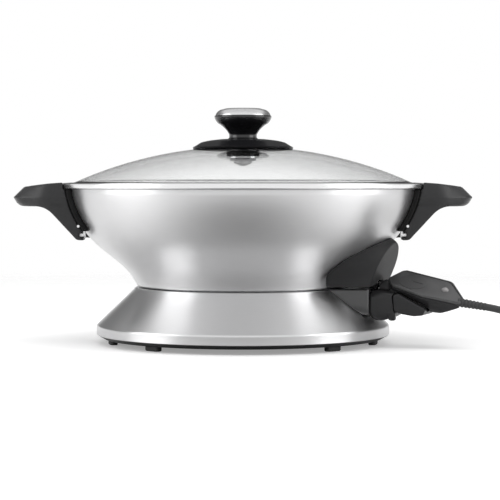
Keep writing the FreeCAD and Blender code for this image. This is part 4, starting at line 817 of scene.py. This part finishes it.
screwHeads = {
    # piece: places, facing, radius, body, node
    "plateScrewHeads": ([(74.0, 0.0, 5.0), (0.0, 74.0, 5.0), (-74.0, 0.0, 5.0), (0.0, -74.0, 5.0)],
                        (0, 0, -1), 3.4, "cooker", "plate_screws"),
    "rightHandleScrews": ([(168.9, -48.0, 112.2), (168.9, 48.0, 112.2)], (1, 0, 0), 2.9, "cooker",
                          "handle_screws_right"),
    "leftHandleScrews": ([(-168.9, -48.0, 112.2), (-168.9, 48.0, 112.2)], (-1, 0, 0), 2.9, "cooker",
                         "handle_screws_left"),
    "probeScrewHeads": ([underHead(x, y) for x, y in head["screws"]],
                        tuple(headPlace.to_3x3() @ Vector((0, 0, -1))), 2.5, "probe", "probe_screws"),
}


def pointMesh(name, points, facing=None):
    mesh = bpy.data.meshes.new(name)
    mesh.from_pydata([Vector(point) * mm for point in points], [], [])
    if facing is not None:
        towards = mesh.attributes.new("facing", "FLOAT_VECTOR", "POINT")
        towards.data.foreach_set("vector", list(facing) * len(points))
    return mesh


def footTree():
    # oblong pads under a ring, each turned to face outwards, hanging down from its point
    tree, make, given = shapeTree("oblongPads", {
        "Reach": 0.01, "Breadth": 0.02, "Height": 0.005, "Corner": 0.003, "Chamfer": 0.001})
    outline = make("GeometryNodeCurvePrimitiveQuadrilateral", {
        "Width": given["Reach"], "Height": given["Breadth"]})
    rounded = make("GeometryNodeFilletCurve", mode="POLY")
    feed(rounded, {"Curve": outline.outputs[0], "Radius": given["Corner"], "Count": feet["cornerSteps"]})
    filled = make("GeometryNodeFillCurve", {"Curve": rounded.outputs[0]}, mode="NGONS").outputs[0]
    down = make("ShaderNodeCombineXYZ", {"Z": -1.0}).outputs[0]
    walls = make("GeometryNodeExtrudeMesh", {
        "Mesh": filled, "Offset": down, "Individual": False,
        "Offset Scale": mathNode(make, "SUBTRACT", given["Height"], given["Chamfer"])}).outputs
    chamfer = make("GeometryNodeExtrudeMesh", {
        "Mesh": walls["Mesh"], "Selection": walls["Top"], "Offset": down, "Individual": False,
        "Offset Scale": given["Chamfer"]}).outputs
    narrow = make("GeometryNodeScaleElements", {
        "Geometry": chamfer["Mesh"], "Selection": chamfer["Top"], "Scale": feet["narrowing"]})
    whole = make("GeometryNodeJoinGeometry", {0: narrow.outputs[0]})
    feed(whole, {0: filled})
    outward = make("FunctionNodeAlignRotationToVector", {
        "Vector": make("GeometryNodeInputPosition").outputs[0]}, axis="X", pivot_axis="Z")
    spread = make("GeometryNodeInstanceOnPoints", {
        "Points": given["Geometry"], "Instance": whole.outputs[0], "Rotation": outward.outputs[0]})
    endTree(make, given, spread.outputs[0])
    return tree


def screwTree():
    # pan heads with a cross recess, standing on points along their facing
    tree, make, given = shapeTree("crossScrews", {"Radius": 0.003, "Height": 0.0014})
    narrow, length, width = (mathNode(make, "MULTIPLY", given["Radius"], screw[share])
                             for share in ("topShare", "slotLength", "slotWidth"))
    pan = make("GeometryNodeMeshCone", {
        "Vertices": screw["sides"], "Radius Top": narrow, "Radius Bottom": given["Radius"],
        "Depth": given["Height"]})
    recess = make("GeometryNodeMeshBoolean", {"Mesh 1": pan.outputs["Mesh"]}, operation="DIFFERENCE")
    lift = make("ShaderNodeCombineXYZ", {"Z": given["Height"]}).outputs[0]
    for along, across in ((length, width), (width, length)):
        size = make("ShaderNodeCombineXYZ", {"X": along, "Y": across, "Z": given["Height"]})
        bar = make("GeometryNodeMeshCube", {"Size": size.outputs[0]})
        slot = make("GeometryNodeTransform", {"Geometry": bar.outputs["Mesh"], "Translation": lift})
        feed(recess, {"Mesh 2": slot.outputs[0]})
    towards = make("GeometryNodeInputNamedAttribute", {"Name": "facing"}, data_type="FLOAT_VECTOR")
    upright = make("FunctionNodeAlignRotationToVector", {"Vector": towards.outputs["Attribute"]}, axis="Z")
    spread = make("GeometryNodeInstanceOnPoints", {
        "Points": given["Geometry"], "Instance": recess.outputs["Mesh"], "Rotation": upright.outputs[0]})
    endTree(make, given, spread.outputs[0])
    return tree


def sleeveTree():
    # tapered sleeve with ribs round it, along a line between two points
    tree, make, given = shapeTree("ribbedSleeve", {
        "Start": (0.0, 0.0, 0.0), "End": (0.0, 0.0, 0.1), "Thick": 0.005, "Thin": 0.004, "Ribs": 8,
        "Rib height": 0.0005})
    line = make("GeometryNodeCurvePrimitiveLine", {"Start": given["Start"], "End": given["End"]})
    # four points make a rib: two on its crest and two in the groove
    steps = make("GeometryNodeResampleCurve", {
        "Curve": line.outputs[0], "Count": mathNode(make, "MULTIPLY_ADD", given["Ribs"], 4, 2)})
    taper = rangeNode(make, make("GeometryNodeSplineParameter").outputs["Factor"], 0, 1, given["Thick"],
                      given["Thin"])
    phase = mathNode(make, "MODULO", make("GeometryNodeInputIndex").outputs[0], 4)
    groove = mathNode(make, "MULTIPLY", mathNode(make, "GREATER_THAN", phase, 1.5), given["Rib height"])
    ring = make("GeometryNodeCurvePrimitiveCircle", {"Resolution": relief["sides"], "Radius": 1.0})
    sleeve = make("GeometryNodeCurveToMesh", {
        "Curve": steps.outputs[0], "Profile Curve": ring.outputs["Curve"],
        "Scale": mathNode(make, "SUBTRACT", taper, groove), "Fill Caps": True})
    endTree(make, given, sleeve.outputs[0])
    return tree


def makeFeet():
    ring = []
    for azimuth in feet["azimuths"]:
        angle = math.radians(azimuth - 90)
        ring.append((feet["circle"] * math.cos(angle), feet["circle"] * math.sin(angle), feet["height"]))
    sizes = {"Reach": feet["reach"] * mm, "Breadth": feet["breadth"] * mm, "Height": feet["height"] * mm,
             "Corner": feet["corner"] * mm, "Chamfer": feet["chamfer"] * mm}
    pads = grownPiece("footPads", pointMesh("footPads", ring), footTree(), sizes, finishes["rubber"])
    placed(pads, "cooker", "rubber", "foot_pads")


def makeScrews():
    tree = screwTree()
    for name, (points, facing, radius, body, node) in screwHeads.items():
        sizes = {"Radius": radius * mm, "Height": screw["height"] * mm}
        piece = grownPiece(name, pointMesh(name, points, facing), tree, sizes, finishes["polishedSteel"], 20)
        placed(piece, body, "polished_steel", node)


def makeRelief():
    fall = math.radians(relief["fall"])
    start = Vector(relief["start"])
    end = start + Vector((math.cos(fall), 0, -math.sin(fall))) * relief["length"]
    sizes = {"Start": tuple(probeTurn @ start * mm), "End": tuple(probeTurn @ end * mm),
             "Thick": relief["thick"] * mm, "Thin": relief["thin"] * mm, "Ribs": relief["ribs"],
             "Rib height": relief["ribHeight"] * mm}
    sleeve = grownPiece("strainRelief", pointMesh("strainRelief", [start]), sleeveTree(), sizes,
                        finishes["jacket"], 30)
    placed(sleeve, "probe", "cord_jacket", "strain_relief")


makeFeet()
makeScrews()
makeRelief()
print("feet, screws and strain relief made")


# moulded parts: handles, shield, cowl, probe

mouldings = {
    # piece: node, voxel, rounds of smoothing, body, slot, finish
    "gripRight": ("handle_right", 1.0, 5, "cooker", "phenolic", "phenolic"),
    "gripLeft": ("handle_left", 1.0, 5, "cooker", "phenolic", "phenolic"),
    # the saddles' near-black finish is painted shade for the shadow between handle and bowl
    "saddleRight": ("handle_pad_right", 0.9, 2, "cooker", "phenolic", "saddlePaintedShade"),
    "saddleLeft": ("handle_pad_left", 0.9, 2, "cooker", "phenolic", "saddlePaintedShade"),
    "socketShield": ("terminal_shield", 0.7, 20, "cooker", "phenolic", "shieldPhenolic"),
    "baseCowl": ("probe_cowl", 0.7, 8, "cooker", "phenolic", "cowlPlastic"),
    "probeHull": ("probe_housing", 0.7, 9, "probe", "black_plastic", "probePlastic"),
    "probeTrigger": ("release_trigger", 0.6, 9, "trigger", "black_plastic", "probePlastic"),
    "mainsPlug": ("mains_plug", 0.7, 3, "probe", "cord_jacket", "jacket"),
}


def makeMouldings():
    for name, (node, voxel, rounds, body, slotName, finish) in mouldings.items():
        piece = mouldedCopy(name, node, voxel, rounds)
        print(f"{name}: {len(piece.data.polygons)} faces")
        placed(coated(piece, finishes[finish]), body, slotName, node)


makeMouldings()


# face of the control head: crowned plate over a shadow gap, with a raised rim along its far side

def headOutline(inset):
    middle = Vector(head["middle"])
    corners = []
    for corner in head["corners"]:
        arm = Vector(corner) - middle
        corners.append(middle + arm * (1 - inset / arm.length))
    return softened(corners, head["rounding"], head["cornerSteps"])


def onHead(flat, height):
    return headPlace @ Vector((flat.x, flat.y, height)) * mm


def makeFace():
    thick, groove = head["faceSheet"], head["groove"]
    levels = [(-thick, groove), (groove - thick, groove), (groove - thick, 0.0)] + head["crown"]
    rings = [[onHead(flat, height) for flat in headOutline(inset)] for height, inset in levels]
    plate = meshObject("headFace", *joinedRings(rings), True, 25)
    # the face plate's lighter tint is painted sheen
    placed(coated(plate, finishes["facePaintedSheen"]), "probe", "dial_plastic", "probe_face")

    # the rim follows the far corners, from the plug end round to the cord end
    outer, inner = (headOutline(inset) for inset in head["rimInsets"])
    first, last = head["rimSteps"]
    rings = []
    for step in range(first, last + 1):
        fade = min(step - first, last - step) + head["rimTip"]
        lift = head["rimHeight"] * min(1, fade / head["rimFade"])
        rings.append([onHead(outer[step].lerp(inner[step], across),
                             head["rimUnder"] if share is None else lift * share)
                      for across, share in head["rimSection"]])
    strip = meshObject("headRim", *joinedRings(rings), True, 50)
    placed(coated(strip, finishes["dialPlastic"]), "probe", "dial_plastic")


makeFace()
print("control head made")


# the solids of the frame that no piece stands for keep their shape and get a finish

solidFinishes = {
    "silicone": ("lid_seal", "knob_gasket", "indicator_lamp"),
    "knobPhenolic": ("lid_boss",),
    "polishedSteel": ("lid_washer", "terminal_pins", "bowl_stud", "socket_guard", "sensing_rod",
                      "trigger_pin", "handle_pins_right", "handle_pins_left"),
    "darkSteel": ("lid_lock_washer", "knob_screw"),
    "weldSteel": ("handle_brackets_right", "handle_brackets_left"),
    "dullSteel": ("heating_element",),
    "nonStick": ("bowl_liner",),
    "aluminium": ("bowl_bottom_cover", "sensor_block", "base_pan"),
    "brass": ("plug_contacts", "thermostat_switch", "plug_pins"),
    "enamel": ("bottom_plate",),
    "phenolic": ("terminal_block", "probe_nose"),
    "probePlastic": ("base_release_lever", "dial_cam_shaft"),
    "facePaintedSheen": ("temperature_dial",),
    "lens": ("indicator_lens",),
}
for finish, names in solidFinishes.items():
    for name in names:
        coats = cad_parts[name].data.materials
        for index in range(len(coats)):
            coats[index] = finishes[finish]
        if not coats:
            coats.append(finishes[finish])
print("finishes set on", sum(len(names) for names in solidFinishes.values()), "solids")
